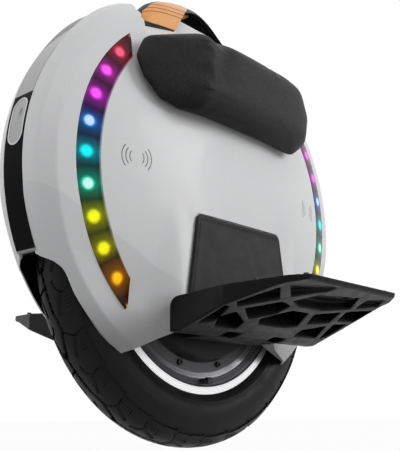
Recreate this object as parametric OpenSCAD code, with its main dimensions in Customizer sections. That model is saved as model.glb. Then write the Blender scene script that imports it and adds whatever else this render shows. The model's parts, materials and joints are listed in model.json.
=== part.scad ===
// Electric unicycle with a trolley handle, arc lamps, leg pads and folding pedals.
// The origin is on the ground under the axle, +X is forwards, +Y is left, +Z is up.
// Heights in the modules are counted from the axle: hub() lifts them to the ground frame.

/* [Wheel] */
// Radius of the rim's lip
rim_r = 158; // [154:1:162]
// Height of the tyre over the rim's lip
tyre_h = 58.5; // [56:0.5:61]
// Width of the tyre
tyre_w = 64; // [60:1:66]
// Width of the rim over both lips
rim_w = 44; // [42:1:46]
// Thickness of the rim's lip
lip_t = 3; // [2.5:0.5:4]
// Distance of the motor covers' edge inside the rim's lip
cover_in = 25; // [23:0.5:26]
// Distance of the motor covers' seat from the wheel's middle plane
cover_seat = 12; // [11:0.5:13]
// Thickness of a motor cover
cover_t = 3; // [2.5:0.5:4]
// Screws in each motor cover
cover_screw_n = 12; // [8:1:16]
// Radius of the axle
axle_r = 8.5; // [8:0.5:9]
// Shoulder grooves on each side of the tread
tread_n = 30; // [24:2:36]
// Depth of the tread
tread_d = 5; // [4:0.5:6]
// Magnets in the motor
magnet_n = 28; // [24:2:30]
// Teeth of the stator
tooth_n = 27; // [24:3:27]

/* [Shell] */
// Difference between the radius of the shell's two big arcs and the tyre's
shell_gap = 11.5; // [10.5:0.5:13.5]
// Distance of the arcs' centres before and behind the axle
shell_c = 28; // [27:0.5:32]
// Height of the arcs' centres over the axle
shell_z = 70; // [69:0.5:71]
// Half the width of the shell over its crown
crown_y = 80; // [79.5:0.25:81]
// Thickness of the shell's wall
wall = 3; // [2.5:0.25:3.5]
// Half the width of the strips between the side panels
strip_half = 15; // [14:0.5:16]
// Gap between the tyre and the roof of its well
well_gap = 9.5; // [8:0.5:11]
// Gap between the tyre's side and the well's wall
well_side = 6; // [5:0.5:6.5]
// Thickness of the inner shell
inner_t = 2.2; // [2:0.1:2.5]
// Gap at the seams between panels, strips and covers
seam = 0.3; // [0.2:0.05:0.5]
// Height of the strips' top edge over the axle
strip_top = 135; // [134:0.5:138]
// Height of the strips' bottom edge over the axle
strip_bottom = -26; // [-28:0.5:-24]

/* [Lamps] */
// Distance of an arc lamp's outer edge inside the shell's radius
arc_edge = 31; // [30:0.5:33]
// Difference between the radii of an arc lamp's two edges
arc_w = 12; // [10:0.5:14]
// Lamps behind each arc lens
led_n = 9; // [5:2:9]
// Angle between neighbouring lamps
led_step = 10; // [8:0.5:10.5]
// Height of the headlight's middle over the axle
head_z = 105; // [102:1:108]
// Half the width of the headlight
head_half = 12; // [11:0.5:13]
// Height of the headlight
head_h = 52; // [48:1:54]

/* [Pedals] */
// Reach of a pedal's tip from the middle plane
pedal_reach = 226; // [222:1:230]
// Distance of the pedal's hinge from the middle plane
hinge_y = 91; // [90:0.5:92]
// Height of the pedal's hinge over the axle
hinge_z = -76; // [-77:0.5:-75]
// Radius of the hinge pin
pin_r = 4; // [3.5:0.25:4.5]
// Rise of the pedal's deck towards its tip, in degrees
deck_tilt = 4.3; // [3:0.1:5]
// Thickness of the pedal's deck
deck_t = 4; // [3.5:0.25:5]
// Width of one hinge lug
lug_w = 24; // [20:1:26]
// Distance of the hinge lugs before and behind the axle
lug_x = 40; // [38:1:42]
// Running clearance of pins and shafts
run_gap = 0.05; // [0.03:0.01:0.08]

/* [Handle] */
// Half the width of the handle at its foot
hood_half = 33; // [31:0.5:34]
// Thickness of the handle's flanks
hood_t = 5; // [4:0.5:6]
// Thickness of the handle's crest
crest_t = 7; // [6.5:0.5:7.5]
// Thickness of the trolley guides' walls
guide_wall = 0.8; // [0.6:0.1:1]
// Distance of the trolley rods before the axle
rod_x = 48; // [47:0.5:49]
// Thickness of a trolley rod
rod_t = 5; // [4:0.25:5]
// Width of a trolley rod
rod_w = 18; // [14:1:18]
// Thickness of the trolley tubes' walls
tube_t = 1.1; // [0.9:0.1:1.2]
// Sliding gap between rod, tube and guide
slide_gap = 0.3; // [0.2:0.05:0.35]
// Travel of each trolley stage
stage_travel = 165; // [120:5:170]
// Travel of the release button
release_travel = 3; // [2:0.25:3]

/* [Pads] */
// Plane of the bed under the lower pad
bed_y = 77.5; // [77:0.25:77.75]
// Thickness of the lower pad
lower_pad_t = 3.6; // [2.5:0.1:4]
// Distance of the upper pad's ridge from the middle plane
ridge_y = 114; // [106:1:118]

/* [Port and button] */
// Radius of the charge socket's bore
socket_r = 6; // [5.5:0.25:6.5]
// Depth of the charge socket's bore
socket_d = 14; // [10:1:16]
// Height of the charge socket over the axle
socket_z = 50; // [48:1:52]
// Radius of the power button
power_r = 6; // [5:0.25:7]
// Angle of the power button behind the top of the shell's rear arc
power_a = 27; // [26:1:29]

/* [Hidden] */

$fn = 96;
big = 700;
tyre_r = rim_r + tyre_h;
cover_r = rim_r - cover_in;
shell_r = tyre_r + shell_gap;
hub_z = tyre_r;
well_r = tyre_r + well_gap;
well_half = tyre_w / 2 + well_side;
inner_y = well_half + inner_t;
fit_gap = 0.2;
bearing_r = axle_r + 9;
bearing_w = 10;
bearing_y = 26;
cover_bulge = bearing_y + 1;
magnet_ring_r = cover_r - 12;
flat_r = 47;
bevel_in = 6;
bevel_y = 31;
shoulder_in = 18;
shoulder_y = 45;
crown_steps = 8;
arc_outer_r = shell_r - arc_edge;
arc_inner_r = arc_outer_r - arc_w;
arc_cut_x = shell_r - 80;
// The handle's outlines are drawn for a shell whose top is at drawn_top, and go up and down with it.
drawn_top = 298;
lift = shell_z + shell_r - drawn_top;
guide_top = 227 + lift;
guide_low = guide_top - stage_travel - 30;
knuckle_r = 10.7;
pedal_end = hinge_y - knuckle_r;
lug_r = 9;
hanger_y0 = 46;
hanger_y1 = 58;
block_y = pedal_end - 0.3;
block_half = 62;
block_low = -101;
block_top = -70;
axle_half = 66;
flat_half = 6.5;
socket_wall = 3;
board_z = 210 + lift;

function lifted(pts) = [for (p = pts) [p[0], p[1] + lift]];

// Foot and crest of the handle along X, from the back to the front.
floor_line = lifted([[-96, 251], [-60, 264], [0, 268], [65, 264], [124, 250]]);
crest_line = lifted([
    [-88, 262], [-60, 288], [-36, 313], [-24, 325], [-8, 332], [10, 331.5], [40, 325.5],
    [67, 315], [83, 303], [94, 289], [101, 276], [106, 262]
]);
hood_stations = [
    -88, -74, -60, -48, -36, -24, -8, 10, 25, 40, 54, 67, 76, 83, 88, 94, 98, 101, 104, 106
];
grip_opening = lifted([
    [64, 262], [48, 285], [30, 308], [12, 317], [0, 320], [-12, 316], [-25, 304], [-50, 276],
    [-60, 255], [64, 255]
]);
ridge_x0 = -25;
ridge_x1 = 64;
// Ends of the tray in which the handle stands. The front one leans back by tray_lean.
tray_x0 = -92;
tray_x1 = 124;
tray_lean = 26;
tray_rise = 52;
// The tray's floor is this wide to each side, and the shoulders fall outwards from its edge.
tray_edge = 34;
shoulder_slope = 0.95;

// Lower edge of a side panel, front half, from the strip to the hanger.
panel_edge = [
    [235, -28], [222, -37], [213, -45], [198, -67], [178, -89], [158, -107], [138, -120], [84, -96]
];
// Places of the screws that hold a side panel to the inner shell.
panel_screws = [[168, -70], [176, 30], [170, 132]];
screw_bite = 5;
// Middles of the two speakers behind a side panel.
speaker_at = [[153, 76], [-160, 80]];
// Outline of the lower pad, and how far its bed reaches round it.
lower_pad_outline = [[-75, 30], [75, 30], [91, -66], [-91, -66]];
bed_margin = 3;
// Outline of the upper pad in side view.
upper_pad_outline = [
    [155, 190], [140, 214], [70, 234], [-96, 239], [-124, 226], [-139, 190], [-126, 152],
    [-106, 138], [104, 138], [130, 146], [147, 166]
];
// A pedal's outlines are drawn for this reach, and stretched from the hinge out to pedal_reach.
drawn_reach = 226;
pedal_stretch = (pedal_reach - hinge_y) / (drawn_reach - hinge_y);
function reach_out(y) = y < hinge_y ? y : hinge_y + (y - hinge_y) * pedal_stretch;
function all_out(pts) = [for (p = pts) [p[0], reach_out(p[1])]];
// Plan of a pedal from its inner end round the tip, and its cells, chosen by hand.
pedal_plan = all_out([
    [118, 70], [118, 150], [96, 210], [80, 226], [-80, 226], [-96, 210], [-112, 150], [-122, 95],
    [-122, 70]
]);
pedal_cells = [for (cell = [
    [[110, 108], [114, 148], [106, 146], [94, 118]],
    [[108, 158], [90, 196], [64, 176], [98, 150]],
    [[84, 204], [56, 218], [24, 218], [24, 206], [55, 184]],
    [[82, 106], [98, 126], [88, 140], [54, 122], [48, 106]],
    [[84, 148], [54, 172], [32, 166], [32, 148], [56, 130]],
    [[42, 176], [22, 196], [-14, 202], [-38, 206], [-60, 181], [-22, 168], [20, 168]],
    [[40, 134], [18, 158], [-12, 158], [-32, 128], [-12, 122], [30, 122]],
    [[-40, 136], [-24, 158], [-56, 171], [-70, 146]],
    [[-78, 152], [-64, 174], [-100, 186], [-106, 156]],
    [[-66, 184], [-56, 206], [-78, 214], [-94, 196]],
    [[-56, 106], [-50, 122], [-76, 138], [-98, 108]],
    [[-106, 108], [-84, 144], [-104, 148], [-112, 116]]
]) all_out(cell)];
pedal_windows = [
    all_out([[22, 183], [-2, 193], [10, 176]]), all_out([[-16, 192], [-36, 196], [-46, 183]])
];
stud_places = all_out([[74, 216], [-74, 216], [100, 176], [-100, 176], [104, 128], [-104, 128]]);
// Route of the motor cable on the right side, from the axle's end to the control board.
cable_route = [
    [0, -66.3, 0], [0, -69.5, 5], [-5, -69.5, 40], [-18, -67, 84], [-40, -60, 132],
    [-58, -51, 172], [-72, -46, 200], [-84, -45, 217], [-92, -38, 225], [-99, -31, 224],
    [-104, -28, 218]
];
cable_r = 3;

// Profile of the crown: distance from an arc's centre and half width, drawn in by e.
function crown_fall(t) = 1 - pow(t, 1.45);
crown_line = concat(
    [[0, crown_y]],
    [for (i = [0 : crown_steps]) let (t = i / crown_steps, r1 = shell_r - shoulder_in)
        [flat_r + (r1 - flat_r) * t, shoulder_y + (crown_y - shoulder_y) * crown_fall(t)]],
    [[shell_r - bevel_in, bevel_y], [shell_r, strip_half]]
);
function unit(v) = v / norm(v);
function side_normal(d) = [-d[1], d[0]] / norm(d);
function drawn_in(pts, e) = [for (i = [0 : len(pts) - 1])
    let (
        a = side_normal(pts[min(i + 1, len(pts) - 1)] - pts[min(i, len(pts) - 2)]),
        b = side_normal(pts[max(i, 1)] - pts[max(i - 1, 0)]),
        n = unit(a + b)
    )
    i == 0 ? pts[0] - [0, e] : pts[i] - n * e / (n * a)];
function crown_inner(e) = e == 0 ? crown_line : drawn_in(crown_line, e);

// Half width of the shell at a place in side view.
function arc_distance(x, z) = norm([max(abs(x) - shell_c, 0), z - shell_z]);
function crown_at(x, z) =
    let (r1 = shell_r - shoulder_in, t = (min(arc_distance(x, z), r1) - flat_r) / (r1 - flat_r))
    t <= 0 ? crown_y : shoulder_y + (crown_y - shoulder_y) * crown_fall(t);

function floor_at(x) = lookup(x, floor_line);
function tray_floor(e) = [for (p = floor_line) [min(max(p[0], tray_x0 - e), tray_x1 + e), p[1]]];
// The tray in side view, longer by e at both ends and with its floor lower by drop.
function tray_outline(e, drop) =
    let (line = tray_floor(e), low = line[len(line) - 1][1])
    concat(
        [for (p = line) [p[0], p[1] - drop]],
        [[tray_x1 + e, low], [tray_x1 + e - tray_lean, low + tray_rise]],
        [[tray_x0 - e, low + tray_rise]]
    );
function crest_at(x) = lookup(x, crest_line);

// A polygon's corners rounded with arcs of radius r, n points to an arc.
function round_corner(a, b, c, r, n) =
    let (
        u = unit(a - b),
        v = unit(c - b),
        half = acos(u * v) / 2,
        mid = b + unit(u + v) * r / sin(half),
        s = b + u * r / tan(half),
        e = b + v * r / tan(half),
        a0 = atan2(s[1] - mid[1], s[0] - mid[0]),
        turn = atan2(e[1] - mid[1], e[0] - mid[0]) - a0,
        sweep = turn > 180 ? turn - 360 : turn < -180 ? turn + 360 : turn
    )
    [for (i = [0 : n]) mid + r * [cos(a0 + sweep * i / n), sin(a0 + sweep * i / n)]];
function round_poly(pts, r, n = 4) = [
    for (i = [0 : len(pts) - 1])
        each round_corner(
            pts[(i + len(pts) - 1) % len(pts)], pts[i], pts[(i + 1) % len(pts)], r, n)
];
function grown(pts, e) =
    let (mid = [for (k = [0, 1]) (min([for (p = pts) p[k]]) + max([for (p = pts) p[k]])) / 2])
    [for (p = pts) p + [sign(p[0] - mid[0]) * e, sign(p[1] - mid[1]) * e]];

module hub() {
    translate([0, 0, hub_z]) children();
}

module about_y() {
    rotate([-90, 0, 0]) children();
}

// An outline in side view, drawn between two distances from the middle plane.
module across(y0, y1) {
    translate([0, y1, 0]) rotate([90, 0, 0]) linear_extrude(y1 - y0) children();
}

// An outline seen from the front, drawn between two places along X.
module along(x0, x1) {
    translate([x0, 0, 0]) rotate([90, 0, 90]) linear_extrude(x1 - x0) children();
}

module on_side(side) {
    if (side > 0) children();
    else mirror([0, 1, 0]) children();
}

module both_sides() {
    children();
    mirror([0, 1, 0]) children();
}

module disc_ring(profile) {
    hub() about_y() rotate_extrude() polygon(profile);
}

function mirrored_profile(half) =
    concat(half, [for (i = [len(half) - 1 : -1 : 0]) if (half[i][1] != 0) [half[i][0], -half[i][1]]]);

// The wheel

tyre_outer = [
    [tyre_r, 0], [tyre_r - 1, 9], [tyre_r - 5, 18], [tyre_r - 13, tyre_w / 2 - 7],
    [tyre_r - 22, tyre_w / 2 - 3.4], [tyre_r - 34, tyre_w / 2], [rim_r + 14, tyre_w / 2 - 2],
    [rim_r + 5, rim_w / 2 + 3], [rim_r + 0.2, rim_w / 2], [rim_r + 0.2, rim_w / 2 - lip_t - 0.1],
    [rim_r - 5.9, rim_w / 2 - lip_t - 0.1], [rim_r - 5.9, rim_w / 2 - 9]
];
tyre_inner = [
    [rim_r + 3, rim_w / 2 - 8], [rim_r + 14, tyre_w / 2 - 8], [tyre_r - 30, tyre_w / 2 - 6.5],
    [tyre_r - 18, tyre_w / 2 - 10], [tyre_r - 11, tyre_w / 2 - 20], [tyre_r - 9.5, 0]
];

module tread_groove(side, a) {
    about_y() rotate([0, 0, a]) translate([tyre_r - tread_d, 0, side * (tyre_w / 2 - 4)])
        rotate([side * 28, 0, 0]) translate([0, -2.5, -13]) cube([30, 5, 26]);
}

module tyre() {
    color("#26272a") difference() {
        disc_ring(mirrored_profile(concat(tyre_outer, tyre_inner)));
        hub() about_y() rotate_extrude()
            polygon([
                [tyre_r - tread_d, -2.5], [tyre_r + 5, -2.5], [tyre_r + 5, 2.5],
                [tyre_r - tread_d, 2.5]
            ]);
        hub() for (i = [0 : tread_n - 1]) {
            tread_groove(1, i * 360 / tread_n);
            tread_groove(-1, (i + 0.5) * 360 / tread_n);
        }
    }
}

tube_outer = [
    [rim_r - 5.5, 0], [rim_r - 5.5, rim_w / 2 - 12], [rim_r + 2, rim_w / 2 - 9.5],
    [rim_r + 14, tyre_w / 2 - 9], [tyre_r - 30, tyre_w / 2 - 7.5], [tyre_r - 18.5, tyre_w / 2 - 11],
    [tyre_r - 11.5, tyre_w / 2 - 20.5], [tyre_r - 10, 0]
];
tube_inner = [
    [rim_r - 3.5, 0], [rim_r - 3.5, rim_w / 2 - 14], [rim_r + 4, rim_w / 2 - 11.5],
    [rim_r + 15, tyre_w / 2 - 11], [tyre_r - 31, tyre_w / 2 - 9.5], [tyre_r - 20, tyre_w / 2 - 13],
    [tyre_r - 13.5, tyre_w / 2 - 21.5], [tyre_r - 12, 0]
];

module inner_tube() {
    color("#1c1c1c") hub() about_y() rotate_extrude() difference() {
        polygon(mirrored_profile(tube_outer));
        polygon(mirrored_profile(tube_inner));
    }
}

valve_r = rim_r - 15;

module valve() {
    color("#8a8a8a") hub() about_y() translate([0, valve_r, 0]) {
        translate([0, 0, rim_w / 2 - 8]) cylinder(r = 3, h = 12);
        translate([0, 0, rim_w / 2 + 4.1]) difference() {
            cylinder(r = 4, h = 6);
            translate([0, 0, -1]) cylinder(r = 2, h = 5);
        }
    }
}

rim_half = [
    [rim_r - 11.5, 0], [rim_r - 11.5, rim_w / 2 - 13], [rim_r - 6, rim_w / 2 - 9.2],
    [rim_r - 6, rim_w / 2 - lip_t], [rim_r, rim_w / 2 - lip_t], [rim_r, rim_w / 2],
    [rim_r - 9, rim_w / 2], [cover_r + 7, cover_seat + 4.5], [cover_r + 0.3, cover_seat + cover_t],
    [cover_r + 0.3, cover_seat], [magnet_ring_r + 0.2, cover_seat], [magnet_ring_r + 0.2, 0]
];
screw_ring_r = cover_r - 6;

module cover_screw_places(side, y) {
    for (i = [0 : cover_screw_n - 1])
        about_y() rotate([0, 0, (i + 0.5) * 360 / cover_screw_n])
            translate([screw_ring_r, 0, side * y]) mirror([0, 0, side > 0 ? 0 : 1]) children();
}

module rim() {
    color("#b9bcc0") difference() {
        disc_ring(mirrored_profile(rim_half));
        hub() for (side = [-1, 1]) cover_screw_places(side, cover_seat - 8)
            cylinder(r = 2.1, h = 9, $fn = 24);
        hub() about_y() translate([0, valve_r, rim_w / 2 - 8]) cylinder(r = 3.1, h = 20, $fn = 24);
    }
}

cover_profile = [
    [cover_r, cover_seat + 0.1], [cover_r, cover_seat + cover_t],
    [cover_r - 11, cover_seat + cover_t], [cover_r - 16, cover_bulge], [bearing_r + 9, cover_bulge],
    [bearing_r + 7, bearing_y + bearing_w + 2], [axle_r + 2, bearing_y + bearing_w + 2],
    [axle_r + 2, bearing_y + bearing_w], [bearing_r, bearing_y + bearing_w],
    [bearing_r, bearing_y], [bearing_r + 3, cover_bulge - cover_t],
    [cover_r - 18, cover_bulge - cover_t], [cover_r - 14, cover_seat + 0.1]
];

module motor_cover() {
    difference() {
        disc_ring(cover_profile);
        hub() cover_screw_places(1, cover_seat - 1) cylinder(r = 2.2, h = 9, $fn = 24);
    }
}

module motor_cover_left() {
    color("#3a3c40") motor_cover();
}

module motor_cover_right() {
    color("#3a3c40") mirror([0, 1, 0]) motor_cover();
}

module cover_screws() {
    color("#222222") hub() for (side = [-1, 1]) cover_screw_places(side, cover_seat - 7) {
        cylinder(r = 2.1, h = 7 + cover_t, $fn = 24);
        translate([0, 0, 7 + cover_t]) difference() {
            cylinder(r = 3.6, h = 2.4, $fn = 24);
            translate([0, 0, 1]) cylinder(r = 2, h = 3, $fn = 6);
        }
    }
}

rotor_half = cover_seat - 0.1;

module rotor_ring() {
    color("#77797c") disc_ring([
        [magnet_ring_r - 6, -rotor_half], [magnet_ring_r, -rotor_half],
        [magnet_ring_r, rotor_half], [magnet_ring_r - 6, rotor_half]
    ]);
}

module magnets() {
    color("#a0a4a8") hub() for (i = [0 : magnet_n - 1])
        about_y() rotate([0, 0, i * 360 / magnet_n])
            translate([magnet_ring_r - 10.6, -magnet_ring_r * 2.2 / magnet_n, -rotor_half])
                cube([4, magnet_ring_r * 4.4 / magnet_n, 2 * rotor_half]);
}

module wheel_bearings() {
    color("#c0c0c0") both_sides() disc_ring([
        [axle_r + run_gap, bearing_y], [bearing_r, bearing_y], [bearing_r, bearing_y + bearing_w],
        [axle_r + run_gap, bearing_y + bearing_w]
    ]);
}

// The motor's fixed half and the axle

module axle_outline() {
    intersection() {
        circle(r = axle_r);
        square([2 * flat_half, 4 * axle_r], center = true);
    }
}

module axle() {
    color("#9a9a9a") hub() {
        across(-hanger_y0 + 1, hanger_y0 - 1) circle(r = axle_r);
        both_sides() across(hanger_y0 - 1, axle_half) axle_outline();
    }
}

module axle_nuts() {
    color("#b0b0b0") hub() both_sides() difference() {
        across(hanger_y1 + 0.2, hanger_y1 + 7.2) circle(r = axle_r + 5, $fn = 6);
        across(hanger_y1 - 1, axle_half + 2) axle_outline();
    }
}

stator_r = magnet_ring_r - 11.6;
stator_half = rotor_half - 0.4;
tooth_w = 6;
yoke_r = 72;

module stator_core() {
    color("#55585c") hub() across(-stator_half, stator_half) difference() {
        union() {
            circle(r = yoke_r);
            for (i = [0 : tooth_n - 1]) rotate(i * 360 / tooth_n) {
                translate([yoke_r - 2, -tooth_w / 2]) square([stator_r - yoke_r, tooth_w]);
                translate([stator_r - 5, -stator_r * 2 / tooth_n])
                    square([4, stator_r * 4 / tooth_n]);
            }
        }
        difference() {
            circle(r = yoke_r - 10);
            circle(r = axle_r + 12);
            for (i = [0 : 5]) rotate(i * 60) translate([0, -5]) square([yoke_r, 10]);
        }
        circle(r = axle_r);
    }
}

coil_half = 6.5;

module windings() {
    color("#b06a35") hub() for (i = [0 : tooth_n - 1])
        about_y() rotate([0, 0, -i * 360 / tooth_n]) difference() {
            translate([yoke_r + 1.5, -coil_half, -stator_half - 3])
                cube([stator_r - yoke_r - 7, 2 * coil_half, 2 * stator_half + 6]);
            translate([yoke_r - 5, -tooth_w / 2 - 0.1, -stator_half - 0.1])
                cube([stator_r, tooth_w + 0.2, 2 * stator_half + 0.2]);
        }
}

// Rings of a round tube along a route, each square to the route there.
cable_sides = 10;
function smooth_route(pts, n) = [
    for (i = [0 : len(pts) - 2], j = [0 : n - 1])
        let (
            a = pts[max(i - 1, 0)], b = pts[i], c = pts[i + 1], d = pts[min(i + 2, len(pts) - 1)],
            t = j / n
        )
        (2 * b + (c - a) * t + (2 * a - 5 * b + 4 * c - d) * t * t
            + (3 * b - a - 3 * c + d) * t * t * t) / 2,
    pts[len(pts) - 1]
];
function ring_at(p, way, r) =
    let (u = unit(cross(way, [1, 0.3, 0])), v = unit(cross(way, u)))
    [for (i = [0 : cable_sides - 1]) let (a = 360 * i / cable_sides)
        p + r * (cos(a) * u + sin(a) * v)];

module motor_cable() {
    route = smooth_route(cable_route, 3);
    n = len(route);
    rings = [for (i = [0 : n - 1])
        ring_at(route[i], i == 0 ? [0, -1, 0] : route[min(i + 1, n - 1)] - route[i - 1], cable_r)];
    color("#1a1a1a") hub() tube_of(rings);
}

// Pedal hangers and pedals

hanger_outline = [
    [-block_half, block_low], [block_half, block_low], [block_half, block_top + 2], [45, -40],
    [34, 30], [20, 58], [-20, 58], [-34, 30], [-45, -40], [-block_half, block_top + 2]
];

module hanger() {
    hub() difference() {
        union() {
            across(hanger_y0, hanger_y1) polygon(hanger_outline);
            translate([-block_half, hanger_y1 - 1, block_low])
                cube([2 * block_half, block_y - hanger_y1 + 1, block_top - block_low]);
            for (x = [-lug_x, lug_x]) {
                along(x - lug_w / 2, x + lug_w / 2) translate([hinge_y, hinge_z]) circle(r = lug_r);
                translate([x - lug_w / 2, block_y - 1, hinge_z - lug_r])
                    cube([lug_w, hinge_y - block_y + 1, block_top - hinge_z + lug_r]);
            }
            for (x = [-22, 22], z = [-38, 38])
                translate([x, 0, z]) across(inner_y + 0.2, hanger_y0 + 1) circle(r = 6);
        }
        across(hanger_y0 - 1, hanger_y1 + 1) axle_outline();
        translate([-100, hinge_y, hinge_z]) rotate([0, 90, 0]) cylinder(r = pin_r, h = 200);
        for (x = [-44, -22, 0, 22, 44])
            translate([x, 0, -93]) across(hanger_y0 - 1, block_y - 3) square([16, 14], center = true);
    }
}

module hanger_left() {
    color("#202124") hanger();
}

module hanger_right() {
    color("#202124") mirror([0, 1, 0]) hanger();
}

pin_half = lug_x + lug_w / 2 + 8;

module hinge_pins() {
    color("#c4c6c8") hub() both_sides() translate([-pin_half, hinge_y, hinge_z])
        rotate([0, 90, 0]) cylinder(r = pin_r, h = 2 * pin_half);
}

deck_rise = tan(deck_tilt);
deck_z0 = hinge_z + knuckle_r + 0.13;
function deck_z(y) = deck_z0 + (y - hinge_y) * deck_rise;

module in_deck() {
    translate([0, hinge_y, deck_z0]) rotate([deck_tilt, 0, 0]) translate([0, -hinge_y, 0]) children();
}

module pedal_block() {
    intersection() {
        along(-150, 150) union() {
            translate([hinge_y, hinge_z]) circle(r = knuckle_r);
            polygon([
                [pedal_end, hinge_z], [pedal_end, block_low], [hinge_y, block_low],
                [reach_out(150), -81], [reach_out(197), -66], [pedal_reach - 3, -60.5],
                [pedal_reach, deck_z(pedal_reach) - 2],
                [pedal_reach, deck_z(pedal_reach)], [hinge_y, deck_z0]
            ]);
        }
        translate([0, 0, -200]) linear_extrude(200) polygon(pedal_plan);
    }
}

grip_outline = all_out([[88, 112], [84, 196], [66, 212], [-66, 212], [-84, 196], [-88, 112]]);
grip_sink = 1.3;
grip_t = 1.7;

module pedal() {
    hub() difference() {
        pedal_block();
        in_deck() for (cell = pedal_cells)
            translate([0, 0, -80]) linear_extrude(80 - deck_t) polygon(cell);
        in_deck() for (hole = pedal_windows)
            translate([0, 0, -80]) linear_extrude(100) polygon(hole);
        in_deck() translate([0, 0, -grip_sink]) linear_extrude(20) polygon(grip_outline);
        in_deck() for (p = stud_places)
            translate([p[0], p[1], -3]) cylinder(r = 2.5, h = 20, $fn = 24);
        for (x = [-lug_x, lug_x])
            translate([x - lug_w / 2 - 0.3, pedal_end - 20, -150])
                cube([lug_w + 0.6, hinge_y - pedal_end + 20 + lug_r + 0.8, 150]);
        translate([-pin_half - 1, hinge_y, hinge_z]) rotate([0, 90, 0])
            cylinder(r = pin_r + run_gap, h = 250);
    }
}

module pedal_left() {
    color("#1d1e20") pedal();
}

module pedal_right() {
    color("#1d1e20") mirror([0, 1, 0]) pedal();
}

module pedal_grips() {
    hub() in_deck() translate([0, 0, -grip_sink]) difference() {
        linear_extrude(grip_t) polygon(grown(grip_outline, -0.2));
        for (hole = pedal_windows)
            translate([0, 0, -1]) linear_extrude(9) polygon(grown(hole, 1));
    }
}

module pedal_grips_left() {
    color("#101010") pedal_grips();
}

module pedal_grips_right() {
    color("#101010") mirror([0, 1, 0]) pedal_grips();
}

module pedal_studs(side) {
    color("#909296") on_side(side) hub() in_deck() for (p = stud_places)
        translate([p[0], p[1], -3]) cylinder(r = 2.5, h = 6, $fn = 24);
}

// The shell

function backwards(pts) = [for (i = [len(pts) - 1 : -1 : 0]) pts[i]];

// A half turn of a profile about the centre of the front or rear arc.
module arc_end(end, profile) {
    translate([end * shell_c, 0, shell_z]) about_y()
        rotate([0, 0, -90 * end]) rotate_extrude(angle = 180) polygon(profile);
}

// Solid inside the crown, drawn in by e, from the plane y0 outwards.
module crown(e, y0) {
    line = crown_inner(e);
    last = line[len(line) - 1];
    for (end = [-1, 1]) arc_end(end, concat([[0, y0]], line, [[last[0], y0]]));
    translate([0, 0, shell_z]) along(-shell_c, shell_c) polygon(concat(
        [for (p = line) [p[1], p[0]]],
        [[y0, last[0]], [y0, -last[0]]],
        [for (p = backwards(line)) if (p[0] > 0) [p[1], -p[0]]]
    ));
}

// The wall between the crown drawn in by e0 and by e1, at one end of the shell.
function wall_profile(e0, e1) = concat(crown_inner(e0), backwards(crown_inner(e1)));

module crown_wall(e0, e1) {
    outer = crown_inner(e0);
    inner = crown_inner(e1);
    for (end = [-1, 1]) arc_end(end, wall_profile(e0, e1));
    translate([0, 0, shell_z]) along(-shell_c, shell_c) polygon(concat(
        [for (p = outer) [p[1], p[0]]],
        [for (p = backwards(inner)) [p[1], p[0]]],
        [for (p = inner) if (p[0] > 0) [p[1], -p[0]]],
        [for (p = backwards(outer)) if (p[0] > 0) [p[1], -p[0]]]
    ));
}

module stadium(r) {
    for (end = [-1, 1]) translate([end * shell_c, shell_z]) circle(r = r, $fn = 180);
    translate([-shell_c, shell_z - r]) square([2 * shell_c, 2 * r]);
}

module edge_outline(lift) {
    front = [for (p = panel_edge) [p[0], p[1] + lift]];
    polygon(concat(
        [[-big, big], [big, big], [big, panel_edge[0][1] + lift]],
        front,
        [for (i = [len(front) - 1 : -1 : 0]) [-front[i][0], front[i][1]]],
        [[-big, panel_edge[0][1] + lift]]
    ));
}

module arc_lens_outline(end, e) {
    mirror([end > 0 ? 0 : 1, 0]) intersection() {
        difference() {
            translate([21.5, shell_z + 3]) circle(r = arc_outer_r - e, $fn = 180);
            translate([8, shell_z + 3]) circle(r = arc_inner_r + e, $fn = 180);
        }
        translate([arc_cut_x + e, -big]) square([big, 2 * big]);
    }
}

module sound_slots(at) {
    for (r = [8, 12.5, 17], a = [-38, 142])
        translate([at[0], 0, at[1]]) about_y() rotate([0, 0, a])
            translate([0, 0, 50]) rotate_extrude(angle = 76) translate([r, 0]) square([1.6, 40]);
}

bed_outline = grown(lower_pad_outline, bed_margin);
shoulder_fall = 40;

// What lies above the left shoulder, whose faces are drawn in by e, between the tray's ends.
module above_shoulder(e, y0 = 0) {
    line = tray_floor(wall);
    intersection() {
        union() for (i = [0 : len(line) - 2]) {
            along_floor = line[i + 1] - line[i];
            n = unit(cross([0, -1, shoulder_slope], [along_floor[0], 0, along_floor[1]]));
            translate([line[i][0], tray_edge, line[i][1]] - n * e)
                rotate([-asin(n[1]), atan2(n[0], n[2]), 0])
                    translate([-big, -big, 0]) cube([2 * big, 2 * big, big]);
        }
        across(y0, big) polygon(tray_outline(e, shoulder_fall));
    }
}

// Walls of the tray that belong to the left panel: the shoulder and half of each end.
module tray_walls() {
    intersection() {
        crown(wall / 2, strip_half);
        above_shoulder(wall, tray_edge + seam);
    }
    intersection() {
        crown(wall / 2, seam / 2);
        across(seam / 2, big) difference() {
            polygon(tray_outline(wall, wall));
            polygon(tray_outline(0, wall + 1));
        }
    }
}

// Room in which a trolley rod's arm and tube go up and down.
module trolley_slot() {
    x0 = rod_x - mid_w / 2 - slot_gap;
    translate([x0, arm_y0 - slot_gap, guide_top + 6])
        cube([mid_w + 2 * slot_gap, rod_y + mid_t / 2 + 2 * slot_gap - arm_y0, big]);
    translate([x0, arm_y0 - slot_gap, guide_top + 6])
        cube([leg_x1 + slot_gap - x0, tray_edge + seam + slot_gap - arm_y0, big]);
}

edge_lift = wall * 1.42;
// Room round a trolley tube where it comes out of the panel.
slot_gap = 0.6;
hanger_slot = block_half + 1;

// The raised bed of the lower pad stands out of the crown below this height.
bed_rise_z = -8;
bed_foot_y = 61;

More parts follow.
